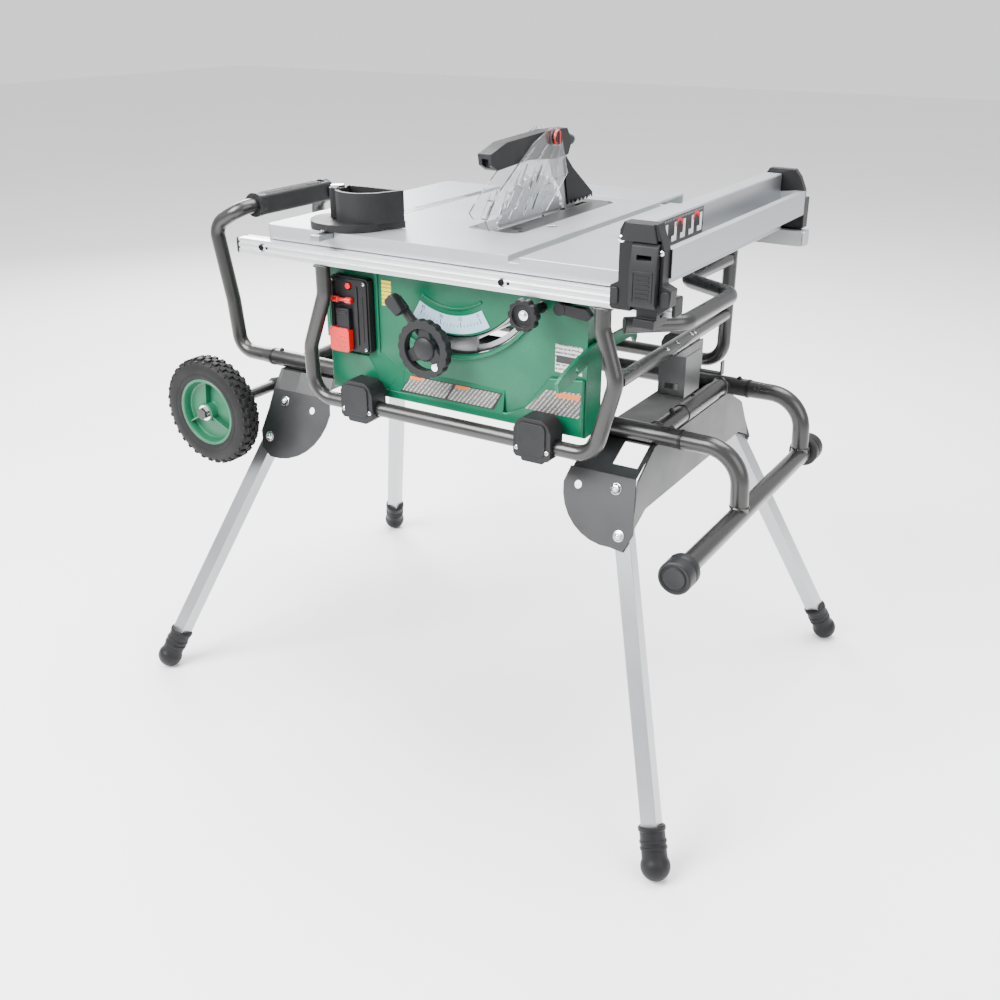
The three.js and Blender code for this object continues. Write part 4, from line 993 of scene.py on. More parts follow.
def buildClamps():
    sx, sz = clampSet["screwX"], clampSet["screwZ"]
    for end, side in (("front", -1), ("rear", 1)):
        for hand in ("left", "right"):
            node = f"cage_clamp_{end}_{hand}"
            low, high = corners(node)
            x, y, z = (low.x + high.x) / 2, (low.y + high.y) / 2, low.z + clampSet["drop"]
            wide, top = (high.x - low.x) / 2, high.z - 0.2
            crown = prism([(x - wide, z - 14), (x - wide + 5, z - 19), (x + wide - 5, z - 19),
                           (x + wide, z - 14),
                           (x + wide, top - 20), (x + wide - 6, top - 7), (x + wide - 17, top),
                           (x - wide + 17, top), (x - wide + 6, top - 7), (x - wide, top - 20)], "y",
                          y - 20, y + 20)
            lip = prism(roundedOutline(x - 21, x + 21, low.z, z - 12, 5), "y", y - 18, y + 12)
            boss = prism(roundedOutline(x - wide + 9, x + wide - 9, z - 12, top - 7, 9), "y",
                         *((y - 22.6, y - 17) if side < 0 else (y + 17, y + 22.6)))
            body = carved(crown + lip, rod((x - 60, y, z), (x + 60, y, z), cageSet["tube"] + 0.3, 32))
            title = end.title() + hand.title()
            makePiece(f"clamp{title}", body + boss, node, [softBlack], bevel=3.2, segments=4)
            screws = Shape()
            for dx in (-sx, sx):
                screws += crossScrew((x + dx, y + side * 19.6, z + sz), (0, side, 0), 4.0, 0)
            makePiece(f"clampScrews{title}", screws, node, [chrome, darkSteel, darkSteel], stands=False)


# saw body

body = dict(left=-190, back=250, relief=7, arcLip=6, scaleInner=117, scaleOuter=147,
            vents=7, ventPitch=11, ribTop=880, sideRibs=(-120, 170), backRibs=(-150, -90, -30), portZ=720)
tableLow, tableHigh = corners("table_top")
bodyLow, bodyHigh = corners("saw_housing")
blade = middle("saw_blade")
pivotX, tableTop = blade.x, corners("throat_plate")[1].z
housingFront, housingRight, housingLeft = bodyLow.y, bodyHigh.x, body["left"]
housingFoot = bodyLow.z


def arcBand(inner, outer, start, end, steps=40):
    far = arc(pivotX, tableTop, outer, start, end, steps)
    return far + arc(pivotX, tableTop, inner, end, start, steps)


def buildHousing():
    shell = cadShape("saw_housing")
    right, foot, y = housingRight, housingFoot, housingFront
    makePiece("sawHousing", shell, "saw_housing", [greenShell], bevel=2.4, segments=3)
    # the foot of the body stands proud, and its faces slope back up to the panel
    out = y - body["relief"]
    relief = prism([(housingLeft + 2, foot + 2), (right - 2, foot + 2), (right - 2, foot + 98),
                    (252, foot + 92),
                    (206, foot + 34), (174, foot + 19), (-66, foot + 17), (-104, foot + 72),
                    (housingLeft + 2, foot + 72)], "y", out, y + 1)
    makePiece("housingSkirt", relief, "saw_housing", [greenShell], bevel=3.0, segments=4, stands=False)
    slope = prism([(y + 1, foot + 16), (out, foot + 16), (y - 0.6, foot + 56), (y + 1, foot + 56)], "x",
                  -34, 168)
    ends = [(-104, out, foot + 72), (-66, out, foot + 17), (-33, y - 0.6, foot + 56),
            (-110, y - 0.6, foot + 98),
            (-104, y + 1, foot + 72), (-66, y + 1, foot + 17), (-33, y + 1, foot + 56),
            (-110, y + 1, foot + 98)]
    slope += Shape(ends, [(0, 1, 2, 3), (7, 6, 5, 4), (0, 4, 5, 1), (1, 5, 6, 2), (2, 6, 7, 3),
                          (3, 7, 4, 0)], 0)
    ends = [(-66, out, foot + 17), (-34, out, foot + 16), (-34, y - 0.6, foot + 56),
            (-66, y + 1, foot + 17), (-34, y + 1, foot + 16), (-34, y + 1, foot + 56)]
    slope += Shape(ends, [(0, 1, 2), (5, 4, 3), (0, 3, 4, 1), (1, 4, 5, 2), (2, 5, 3, 0)], 0)
    makePiece("housingSlopes", slope, "saw_housing", [greenShell], bevel=1.0, segments=2, stands=False)
    lips = prism(arcBand(182, 189, -118, -38), "y", y - body["arcLip"], y + 1)
    lips += prism(arcBand(103, 108, -122, -55), "y", y - 2.4, y + 1)
    makePiece("arcLips", lips, "saw_housing", [greenShell], bevel=2.2, segments=3, stands=False)
    brow = prism([(housingLeft + 2, 880), (right - 2, 880), (right - 2, 892), (housingLeft + 2, 892)],
                 "y", y - 6, y + 1)
    brow += prism([(-91, 706), (-86, 700), (-83, 706), (-83, 878), (-91, 878)], "y", y - 3, y + 1)
    makePiece("housingBrow", brow, "saw_housing", [greenShell], bevel=1.6, segments=3, stands=False)
    inside = together(prism(arcBand(near, far, -108, -36), "y", y + 1, y + 22)
                      for near, far in ((150, 153), (178, 180)))
    guide = prism(arcBand(169, 178, -100, -40), "y", y + 10, y + 12, 1)
    makePiece("arcGuide", inside + guide, "saw_housing", [darkSteel, machineSteel], stands=False,
              bevel=0.4)
    slat = box(housingLeft - 1.5, housingLeft + 1.5, -38, 38, -2.2, 2.2)
    repeated("leftVents", rowOfItems, slat, "saw_housing", blackPlastic, bevel=0.8, Count=body["vents"],
             Start=(0, 0.06, 0.72), Step=(0, 0, body["ventPitch"] * mm))
    ribs = Shape()
    for ry in body["sideRibs"]:
        ribs += box(housingLeft - 4, housingLeft + 1, ry - 5, ry + 5, foot + 26, body["ribTop"])
    back = body["back"]
    for x in body["backRibs"]:
        ribs += box(x - 5, x + 5, back - 1, back + 4, foot + 26, body["ribTop"])
    makePiece("housingRibs", ribs, "saw_housing", [greenShell], bevel=2.0, segments=3, stands=False)
    slat = box(-24, 24, back - 1, back + 1.4, -2.2, 2.2)
    repeated("rearVents", rowOfItems, slat, "saw_housing", blackPlastic, bevel=0.8, Count=body["vents"],
             Start=(-0.12, 0, 0.78), Step=(0, 0, body["ventPitch"] * mm))
    hose = turned([(28.4, 0), (32.4, 0), (33.6, 2), (33.6, 5), (32.4, 7), (32.4, 12), (28.4, 12)],
                  (pivotX, back + 30, body["portZ"]), (0, 1, 0), 48, 0, True)
    makePiece("dustPortLip", hose, "saw_housing", [greenShell], stands=False)


labels = dict(thick=0.6, first=-116, last=-64, shortTicks=19, longTicks=4, figureHeight=0.0085,
              figures=(("45", 0), ("30", 17.3), ("15", 34.7),
                       ("0", 52)))  # degrees on from the first tick


def buildLabels():
    y = housingFront
    t = labels["thick"]
    scale = prism(arcBand(body["scaleInner"], body["scaleOuter"], -121, -59), "y", y - 1.2, y + 0.2)
    makePiece("bevelScale", scale, "saw_housing", [scaleLabel], bevel=0.3, stands=False)
    first, last = labels["first"], labels["last"]
    tick = box(body["scaleInner"] + 14, body["scaleInner"] + 19, -0.35, 0.35, -0.15, 0.15)
    longTick = box(body["scaleInner"] + 10, body["scaleInner"] + 19, -0.6, 0.6, -0.18, 0.18)
    for name, item, number in (("Short", tick, labels["shortTicks"]),
                               ("Long", longTick, labels["longTicks"])):
        pitch = math.radians((last - first) / (number - 1))
        # the ring stands in the front wall, so its angles run clockwise from +X
        repeated(f"scaleTicks{name}", ringOfItems, item, "saw_housing", inkBlack, Count=number,
                 First=math.radians(first), Pitch=pitch,
                 Centre=(pivotX * mm, (y - 1.25) * mm, tableTop * mm), Turn=(math.pi / 2, 0, 0))
    for number, onward in labels["figures"]:
        angle = first + onward
        text = bpy.data.curves.new("number", "FONT")
        text.body, text.size = number, labels["figureHeight"]
        text.align_x, text.align_y = "CENTER", "CENTER"
        text.extrude = 0.0001
        holder = scratchObject(text)
        mesh = evaluated(holder)
        bpy.data.objects.remove(holder)
        r = (body["scaleInner"] + 5.5) * mm
        a = math.radians(angle)
        spot = Vector((pivotX * mm + r * math.cos(a), (y - 1.3) * mm, tableTop * mm + r * math.sin(a)))
        turn = Matrix.Rotation(math.radians(-(angle + 90)), 4, "Y") @ Matrix.Rotation(math.pi / 2, 4, "X")
        mesh.transform(Matrix.Translation(spot) @ turn)
        mesh.materials.clear()
        mesh.materials.append(inkBlack)
        figure = scratchObject(mesh)
        figure.name = f"scaleNumber{number}"
        settle(figure, figure.name, 38, None)
        joined(figure, "saw_housing", False)
    print("scale made")

    proud = y - body["relief"]
    foot, end = housingFoot, housingRight
    rake = body["relief"] / 40

    def flat(outline, mat, front=proud, deep=t):
        return prism(outline, "y", front - deep, front + 0.2, mat)

    def onSlope(outline, mat, lift=0.5):
        # a thin sheet lying on the sloping face above the foot
        near = [(x, proud + (z - foot - 16) * rake - lift, z) for x, z in outline]
        far = [(x, py + 1.2, z) for x, py, z in near]
        count = len(outline)
        sides = [(k, (k + 1) % count, count + (k + 1) % count, count + k) for k in range(count)]
        return Shape(near + far, [tuple(range(count))[::-1], tuple(range(count, 2 * count))] + sides, mat)

    low, top = foot + 19, foot + 50
    stickers = onSlope([(-39, low), (150, low + 1), (165, top), (-20, top - 1)], 2)
    for x0, x1 in ((-35, 53), (58, 146)):
        stickers += onSlope([(x0, low + 2.5), (x1, low + 2.5), (x1 + 14, top - 2.5),
                             (x0 + 15, top - 2.5)], 0, 0.8)
        stickers += onSlope([(x0 + 13, top - 7), (x0 + 40, top - 7), (x0 + 42, top - 2),
                             (x0 + 15, top - 2)], 1, 1.1)
    stickers += flat([(210, foot + 34), (309, foot + 34), (311, foot + 76), (248, foot + 72)], 0)
    stickers += flat([(266, foot + 64), (308, foot + 64), (310, foot + 73), (266, foot + 71)], 1,
                     proud - t, 0.15)
    makePiece("workSafetyLabels", stickers, "saw_housing", [greyLabel, orangeLabel, inkBlack],
              stands=False)
    note = flat([(-76, 797), (-56, 797), (-56, 840), (-76, 840)], 0, y, t)
    makePiece("yellowNote", note, "saw_housing", [yellowLabel], stands=False)
    plate = flat([(end - 56, 736), (end - 8, 736), (end - 8, 782), (end - 56, 782)], 0, y, t)
    plate += flat([(end - 54, 752), (end - 10, 752), (end - 10, 764), (end - 54, 764)], 1, y - t, 0.15)
    makePiece("ratingPlate", plate, "saw_housing", [whiteLabel, inkBlack], stands=False)


def buildTable():
    makePiece("tableTop", cadShape("table_top"), "table_top", [castMetal], bevel=1.3, segments=3,
              along=(1, 0, 0))
    makePiece("throatPlate", cadShape("throat_plate"), "throat_plate", [plateSteel], bevel=0.6,
              segments=2, along=(0, 1, 0))
    makePiece("rearExtension", cadShape("rear_extension"), "rear_extension", [castMetal], bevel=0.8)
    low, high = corners("throat_plate")
    levelling = Shape()
    for x in (low.x + 9, high.x - 9):
        for y in (low.y + 22, high.y - 12):
            levelling += turned([(0, -1), (3.6, -1), (3.6, 0.35), (2.0, 0.35), (1.7, -0.3), (0, -0.3)],
                                (x, y, tableTop), (0, 0, 1), 24)
    levelling += turned([(0, -1), (9, -1), (9, 0.3), (7.6, 0.5), (0, 0.5)],
                        (pivotX + 30, low.y + 40, tableTop), (0, 0, 1), 32)
    makePiece("plateScrews", levelling, "throat_plate", [darkSteel], stands=False)
    # the bare milled edges of the two slots, painted near-white as a highlight along the slot walls
    trims = Shape()
    for x in (-159, 200):
        for side in (-1, 1):
            edge = x + side * (9.6 + 1.4)
            trims += box(edge - 1.0, edge + 1.0, tableLow.y + 1.5, tableHigh.y - 1.5, tableTop - 0.4,
                         tableTop + 0.12)
    makePiece("slotEdges", trims, "table_top", [edgeMetal], stands=False, along=(0, 1, 0))


railSet = dict(screws=(-298, 188, 400), squareOff=12.6, square=2.6, cap=5)


def buildRails():
    for end, side, capFinish in (("front", -1, softBlack), ("rear", 1, fenceMetal)):
        node = f"{end}_rail"
        low, high = corners(node)
        face = low.y if side < 0 else high.y
        makePiece(f"{end}Rail", cadShape(node), node, [railMetal], bevel=0.5,
                  along=(1, 0, 0))
        fittings = Shape()
        z = (low.z + high.z) / 2 + 1.5
        for x in railSet["screws"]:
            fittings += turned([(0, -1), (5.4, -1), (5.4, 0.8), (4.6, 1.4), (3.2, 1.4), (3.0, 0.2),
                                (0, 0.2)],
                               (x, face, z), (0, side, 0), 28)
            hx, square = x + railSet["squareOff"], railSet["square"]
            fittings += box(hx - square, hx + square, *sorted((face - side * 0.5, face + side * 0.35)),
                            z - square, z + square)
        makePiece(f"{end}RailScrews", fittings, node, [darkSteel], bevel=0.2, stands=False)
        caps = Shape()
        for x in (low.x, high.x):
            outline = roundedOutline(low.y - 0.3, high.y + 0.3, low.z - 0.3, high.z + 0.3, 4)
            caps += prism(outline, "x", *sorted((x, x + math.copysign(railSet["cap"], x))))
        makePiece(f"{end}RailCaps", caps, node, [capFinish], bevel=1.5, segments=3, stands=False)


buildCage()
buildClamps()
buildHousing()
buildLabels()
buildTable()
buildRails()
print("saw body made")


# fence

fenceSet = dict(stripStart=16, stripEnd=205, icons=6, bows=3, marks=34, markPitch=0.0054, latchRibs=6,
                latchPitch=0.0062)


def buildFence():
    low, high = corners("fence_beam")
    makePiece("fenceBeam", cadShape("fence_beam"), "fence_beam", [fenceMetal], bevel=1.4, segments=3,
              along=(0, 1, 0))
    x = high.x
    y0, y1 = low.y + fenceSet["stripStart"], low.y + fenceSet["stripEnd"]
    strip = box(x - 0.2, x + 0.5, y0, y1, high.z - 44, high.z - 3)
    makePiece("fenceStrip", strip, "fence_beam", [inkBlack], bevel=0.2, stands=False)
    step = (y1 - y0) / fenceSet["icons"]
    hook = prism([(3, 4), (3, 12), (12, 12), (12, 31), (20, 31), (20, 4)], "x", -0.1, 0.25)
    repeated("fenceIcons", rowOfItems, hook, "fence_beam", inkWhite, Count=fenceSet["icons"],
             Start=((x + 0.5) * mm, (y0 + 6) * mm, (high.z - 42) * mm), Step=(0, step * mm, 0))
    bow = prism(arc(0, 0, 14, 10, 170, 12) + arc(0, 0, 9, 170, 10, 12), "x", -0.1, 0.35)
    repeated("fenceBows", rowOfItems, bow, "fence_beam", redPlastic, Count=fenceSet["bows"],
             Start=((x + 0.5) * mm, (y0 + step + 4) * mm, (high.z - 20) * mm), Step=(0, 2 * step * mm, 0),
             slot="red_plastic")
    marks = box(-0.1, 0.25, -0.3, 0.3, 0, 3)
    repeated("fenceMarks", rowOfItems, marks, "fence_beam", inkWhite, Count=fenceSet["marks"],
             Start=((x + 0.5) * mm, (y0 + 4) * mm, (high.z - 7.5) * mm),
             Step=(0, fenceSet["markPitch"], 0))

    makePiece("flipFence", cadShape("flip_fence"), "flip_fence", [fenceMetal], bevel=0.7, along=(0, 1, 0))
    fLow, fHigh = corners("flip_fence")
    arms = Shape()
    for y, side in ((fLow.y, -1), (fHigh.y, 1)):
        arms += prism([(396, 955), (396, 927), (fHigh.x - 19, fLow.z + 1), (fHigh.x - 0.5, fLow.z + 1),
                      (fHigh.x - 0.5, fHigh.z - 0.5), (fHigh.x - 15, fHigh.z - 0.5)], "y",
                     *sorted((y + side * 0.05, y + side * 1.4)))
        for z in (fLow.z + 11, fHigh.z - 11):
            arms += dome((fHigh.x - 8, y + side * 1.2, z), (0, side, 0), 3.6, 2.2, 18, 1)
    makePiece("flipFenceArms", arms, "flip_fence", [blackPlastic, chrome], bevel=0.5, stands=False)

    makePiece("fenceFrontBracket", cadShape("fence_front_bracket"), "fence_front_bracket",
              [blackPlastic], bevel=1.6, segments=3)
    bLow, bHigh = corners("fence_front_bracket")
    trims = crossScrew((401, bLow.y, 972), (0, -1, 0), 5.5, 0)
    trims += crossScrew((462, bLow.y, 958), (0, -1, 0), 4.2, 0)
    makePiece("frontBracketScrews", trims, "fence_front_bracket", [chrome, darkSteel, darkSteel],
              stands=False)
    cap = prism([(400, bHigh.z - 26), (456, bHigh.z - 26), (450, bHigh.z), (408, bHigh.z)], "y",
                bLow.y - 3, bLow.y + 3)
    cap += prism(roundedOutline(388, 400, 880, 904, 4), "y", bLow.y - 2.5, bLow.y + 2)
    cap += prism(roundedOutline(464, 478, 884, 906, 5), "y", bLow.y - 2.5, bLow.y + 2)
    makePiece("frontBracketCap", cap, "fence_front_bracket", [softBlack], bevel=1.5, segments=3,
              stands=False)
    makePiece("fenceLatchLever", cadShape("fence_latch_lever"), "fence_latch_lever", [softBlack],
              bevel=1.5, segments=3)
    lLow, lHigh = corners("fence_latch_lever")
    mid = (lLow.x + lHigh.x) / 2
    rib = prism(roundedOutline(-11, 11, -1.1, 1.1, 1, 2), "y", -1.1, 0.4)
    repeated("latchRibs", rowOfItems, rib, "fence_latch_lever", softBlack, Count=fenceSet["latchRibs"],
             Start=(mid * mm, lLow.y * mm, (lLow.z + 14) * mm), Step=(0, 0, fenceSet["latchPitch"]))
    frameBars = box(lLow.x + 4, lLow.x + 7, lLow.y - 1.2, lLow.y + 1, lLow.z + 10, lLow.z + 52)
    frameBars += box(lHigh.x - 7, lHigh.x - 4, lLow.y - 1.2, lLow.y + 1, lLow.z + 10, lLow.z + 52)
    frameBars += box(lLow.x + 4, lHigh.x - 4, lLow.y - 1.2, lLow.y + 1, lLow.z + 50, lLow.z + 53)
    makePiece("latchFrame", frameBars, "fence_latch_lever", [softBlack], bevel=0.7, stands=False)

    makePiece("fenceRearBracket", cadShape("fence_rear_bracket"), "fence_rear_bracket", [blackPlastic],
              bevel=1.6, segments=3)
    rLow, rHigh = corners("fence_rear_bracket")
    rearScrews = crossScrew((448, rLow.y + 14 + 5, 972), (0, 1, 0), 4.2, 0)
    rearScrews += dome((rHigh.x - 6, rLow.y - 0.2, 952), (0, -1, 0), 3.6, 2, 18, 0)
    makePiece("rearBracketScrews", rearScrews, "fence_rear_bracket", [chrome, darkSteel, darkSteel],
              stands=False)


# cutting unit

cutSet = dict(radius=127.5, teeth=40, gullet=8, kerf=1.45, holes=(45, 135, 225, 315), holeCircle=62)
guardSet = dict(pivotY=52, pivotZ=1050, slotLean=-38, rib=1.1)


def buildBlade():
    low, high = corners("saw_blade")
    centre = Vector((pivotX, blade.y, (low.z + high.z) / 2))
    outline = []
    pitch, gullet = 360 / cutSet["teeth"], cutSet["gullet"]
    root = cutSet["radius"] - 1.6  # the steel stops short of the carbide tips
    for k in range(cutSet["teeth"]):
        a = k * pitch
        for turn, radius in ((0, root), (0.10, root - gullet * 0.75), (0.22, root - gullet),
                             (0.36, root - gullet * 0.8), (0.55, root - 3.4), (0.8, root - 1.2)):
            t = math.radians(a + turn * pitch)
            outline.append((centre.y + radius * math.cos(t), centre.z + radius * math.sin(t)))
    disc = prism(outline, "x", pivotX - 1.0, pivotX + 1.0)
    circle = cutSet["holeCircle"]
    holes = [rod((pivotX - 5, centre.y + circle * math.cos(t), centre.z + circle * math.sin(t)),
                 (pivotX + 5, centre.y + circle * math.cos(t), centre.z + circle * math.sin(t)), 4.5, 20)
             for t in (math.radians(d) for d in cutSet["holes"])]
    disc = carved(disc, *holes)
    disc += rod((low.x, centre.y, centre.z), (high.x, centre.y, centre.z), 8, 32, finish=1)
    disc += rod((pivotX - 6, centre.y, centre.z), (pivotX + 6, centre.y, centre.z), 24, 48, finish=1,
                chamfer=1)
    disc += hexNut((pivotX + 5.5, centre.y, centre.z), (1, 0, 0), 13, 9, 1)
    makePiece("sawBlade", disc, "saw_blade", [bladeSteel, machineSteel], bevel=0.25, along=(0, 1, 0))
    tip = box(cutSet["radius"] - 5.6, cutSet["radius"], -1.4, 0.9, -cutSet["kerf"], cutSet["kerf"])
    repeated("carbideTips", ringOfItems, tip, "saw_blade", carbide, Count=cutSet["teeth"], First=0.0,
             Pitch=math.radians(pitch), Centre=(pivotX * mm, centre.y * mm, centre.z * mm),
             Turn=(math.pi / 2, 0, math.pi / 2))


def shieldFace(node, side):
    low, high = corners(node)
    base = cadShape(node)
    # long slots that lean with the blade
    cutters = []
    for y, z in ((-118, 958), (-92, 966), (-66, 958), (-22, 986), (0, 994), (-40, 948), (-12, 950)):
        lean = Matrix.Translation((0, y, z)) @ Matrix.Rotation(math.radians(guardSet["slotLean"]), 4, "X")
        cutters.append(prism(roundedOutline(-2.2, 2.2, -17, 17, 2.1, 4), "x", low.x - 5,
                             high.x + 5).placed(lean))
    base = carved(base, *cutters)
    # moulded ribs that stiffen the sheet
    x0, x1 = (high.x - 0.3, high.x + 1.6) if side > 0 else (low.x - 1.6, low.x + 0.3)
    ribs = Shape()
    for (ya, za), (yb, zb) in (((-150, 962), (-18, 1040)), ((-104, 934), (28, 1040)),
                               ((-52, 932), (52, 1030)),
                               ((8, 936), (72, 1028)), ((-140, 940), (90, 984)), ((60, 976), (74, 1040)),
                               ((-60, 978), (20, 1034))):
        if side < 0 and za < 975:  # the left sheet passes close over the insert when the blade tilts
            continue
        along = Vector((0, yb - ya, zb - za)).normalized()
        over = Vector((0, -along.z, along.y)) * guardSet["rib"]
        corner = [(ya + over.y, za + over.z), (ya - over.y, za - over.z), (yb - over.y, zb - over.z),
                  (yb + over.y, zb + over.z)]
        ribs += prism(corner, "x", x0, x1)
    return base + ribs


def buildGuard():
    pivotY, pivotZ = guardSet["pivotY"], guardSet["pivotZ"]
    for node, side, name in (("guard_shield_left", -1, "Left"), ("guard_shield_right", 1, "Right")):
        low, high = corners(node)
        shape = shieldFace(node, side)
        if side > 0:  # the nose of the shield turns in over the blade
            shape += prism([(low.y + 1, 944), (low.y + 24, 970), (low.y + 26, 966), (low.y + 5, 941)],
                           "x", low.x - 9, high.x)
        shape += turned([(7, -1.4), (16, -1.4), (16, 1.6), (13, 2.4), (7, 2.4)],
                        (high.x if side > 0 else low.x, pivotY, pivotZ), (side, 0, 0), 48, 0, True)
        makePiece(f"shield{name}", shape, node, [clearPlastic], bevel=0.5, segments=2)
    armRight = corners("guard_arm")[1].x
    makePiece("guardArm", cadShape("guard_arm"), "guard_arm", [blackPlastic], bevel=1.8, segments=3)
    hub = turned([(0, 0), (13, 0), (13, 3), (11, 5), (7, 5.5), (6, 3.5), (0, 3.5)],
                 (armRight - 5.6, pivotY, pivotZ), (1, 0, 0), 40, 0)
    hub += box(armRight - 3, armRight + 1.5, pivotY - 2, pivotY + 2, pivotZ - 10, pivotZ + 10)
    makePiece("guardHub", hub, "guard_arm", [redPlastic], bevel=0.6, stands=False)
    knob = turned([(0, 0), (6, 0), (6, 6), (9.5, 9), (9.5, 15), (7.5, 18), (0, 18)], (pivotX, 132, 1040),
                  (0, 0.92, -0.34), 40)
    makePiece("releaseKnob", knob, "guard_arm", [greenShell], bevel=0.5, stands=False)
    side = pivotX + 13
    tag = box(side - 0.2, side + 0.5, -118, -56, 1026, 1046)
    tag += box(side + 0.3, side + 0.8, -116, -58, 1037, 1044, 1)
    makePiece("armLabel", tag, "guard_arm", [greyLabel, orangeLabel], stands=False)
    makePiece("rivingKnife", cadShape("riving_knife"), "riving_knife", [machineSteel], bevel=0.25,
              along=(0, 0, 1))
    makePiece("kickbackPawls", cadShape("kickback_pawls"), "kickback_pawls", [darkSteel], bevel=0.3)
    cheeks = Shape()
    for x in (pivotX - 3.8, pivotX + 3.6):
        cheeks += rod((x - 0.6, 120, 1000), (x + 0.8, 120, 1000), 4.4, 24, chamfer=0.3)
    makePiece("pawlRivets", cheeks, "kickback_pawls", [chrome], stands=False)


def buildMotor():
    makePiece("motorUnit", cadShape("motor_unit"), "motor_unit", [blackPlastic, machineSteel], bevel=1.2,
              segments=2)
    mLow = corners("motor_unit")[0]
    fin = box(-2.5, 2.5, -1.6, 1.6, 43, 45.2)
    repeated("motorRibs", ringOfItems, fin.placed(Matrix.Rotation(math.pi / 2, 4, "Y")), "motor_unit",
             blackPlastic,
             Count=24, First=0.0, Pitch=math.tau / 24, Centre=((mLow.x + 14) * mm, 0.05, 0.8395),
             Turn=(0, math.pi / 2, 0))
    makePiece("bevelCarriage", cadShape("bevel_carriage"), "bevel_carriage", [machineSteel], bevel=0.8)


# controls

wheelPlace = middle("handwheel")
controls = dict(scallops=18, knobScallops=10, spokes=(90, 210, 330))


def lobed(cx, cz, radius, depth, count, steps=8):
    points = []
    for k in range(count * steps):
        t = math.tau * k / (count * steps)
        r = radius - depth * (0.5 - 0.5 * math.cos(count * t)) ** 2
        points.append((cx + r * math.cos(t), cz + r * math.sin(t)))
    return points


def buildControls():
    x, z = wheelPlace.x, wheelPlace.z
    low, high = corners("handwheel")
    y, r = low.y + 9, (high.z - low.z) / 2
    rim = carved(prism(lobed(x, z, r, 2.2, controls["scallops"]), "y", y - 9, y + 7),
                 rod((x, y - 30, z), (x, y + 30, z), r - 14, 64))
    makePiece("handwheelRim", rim, "handwheel", [softBlack], bevel=3.0, segments=4, limit=50)
    web = Shape()
    for angle in controls["spokes"]:
        spoke = prism([(10, -14), (r - 10, -9), (r - 10, 9), (10, 14)], "y", y - 3, y + 5)
        turn = Matrix.Translation((x, 0, z)) @ Matrix.Rotation(math.radians(-angle), 4, "Y")
        web += spoke.placed(turn)
    web += turned([(0, -3), (12, -3), (19, 0), (21, 4), (20, 12), (0, 12)], (x, y - 6, z), (0, 1, 0), 48)
    web += rod((x, y, z), (x, high.y, z), 7, 32)
    makePiece("handwheelSpokes", web, "handwheel", [softBlack], bevel=1.6, segments=3, stands=False)
    cap = turned([(0, 0), (7.5, 0), (7.5, 3), (6, 5), (0, 5.4)], (x + 24, y - 4, z - 26), (0, -1, 0), 32)
    makePiece("handwheelCap", cap, "handwheel", [chrome], stands=False)

    makePiece("bevelLever", cadShape("bevel_lock_lever"), "bevel_lock_lever", [softBlack], bevel=1.4,
              segments=3)
    lLow, lHigh = corners("bevel_lock_lever")
    tip = Vector((-22, (lLow.y + lHigh.y) / 2 - 6, 822))
    away = Vector((tip.x - x, 0, tip.z - z)).normalized()
    acrossTip = Vector((-away.z, 0, away.x))
    outline = ((-26, -9), (2, -12), (8, -8), (8, 8), (2, 12), (-26, 9))
    corner = [tip + away * a + acrossTip * b for a, b in outline]
    paddle = prism([(c.x, c.z) for c in corner], "y", tip.y - 10, tip.y + 8)
    makePiece("bevelPaddle", paddle, "bevel_lock_lever", [softBlack], bevel=2.6, segments=3, stands=False)

    kLow, kHigh = corners("rail_knob")
    kx, kz, kr = (kLow.x + kHigh.x) / 2, (kLow.z + kHigh.z) / 2, (kHigh.x - kLow.x) / 2
    knob = prism(lobed(kx, kz, kr, 3.0, controls["knobScallops"]), "y", kLow.y + 1, kLow.y + 15)
    knob = carved(knob, rod((kx, kLow.y - 9, kz), (kx, kLow.y + 6, kz), kr - 8, 40))
    knob += rod((kx, kLow.y + 10, kz), (kx, kHigh.y, kz), 8, 28)
    makePiece("railKnob", knob, "rail_knob", [blackPlastic], bevel=1.4, segments=3, limit=50)
    centre = hexNut((kx, kLow.y + 6.5, kz), (0, -1, 0), 5.5, 5)
    centre += turned([(0, 0), (8, 0), (8, 1), (0, 1)], (kx, kLow.y + 6.4, kz), (0, -1, 0), 32)
    makePiece("railKnobNut", centre, "rail_knob", [chrome], bevel=0.4, stands=False)
    makePiece("railLockLever", cadShape("rail_lock_lever"), "rail_lock_lever", [blackPlastic], bevel=1.8,
              segments=3)


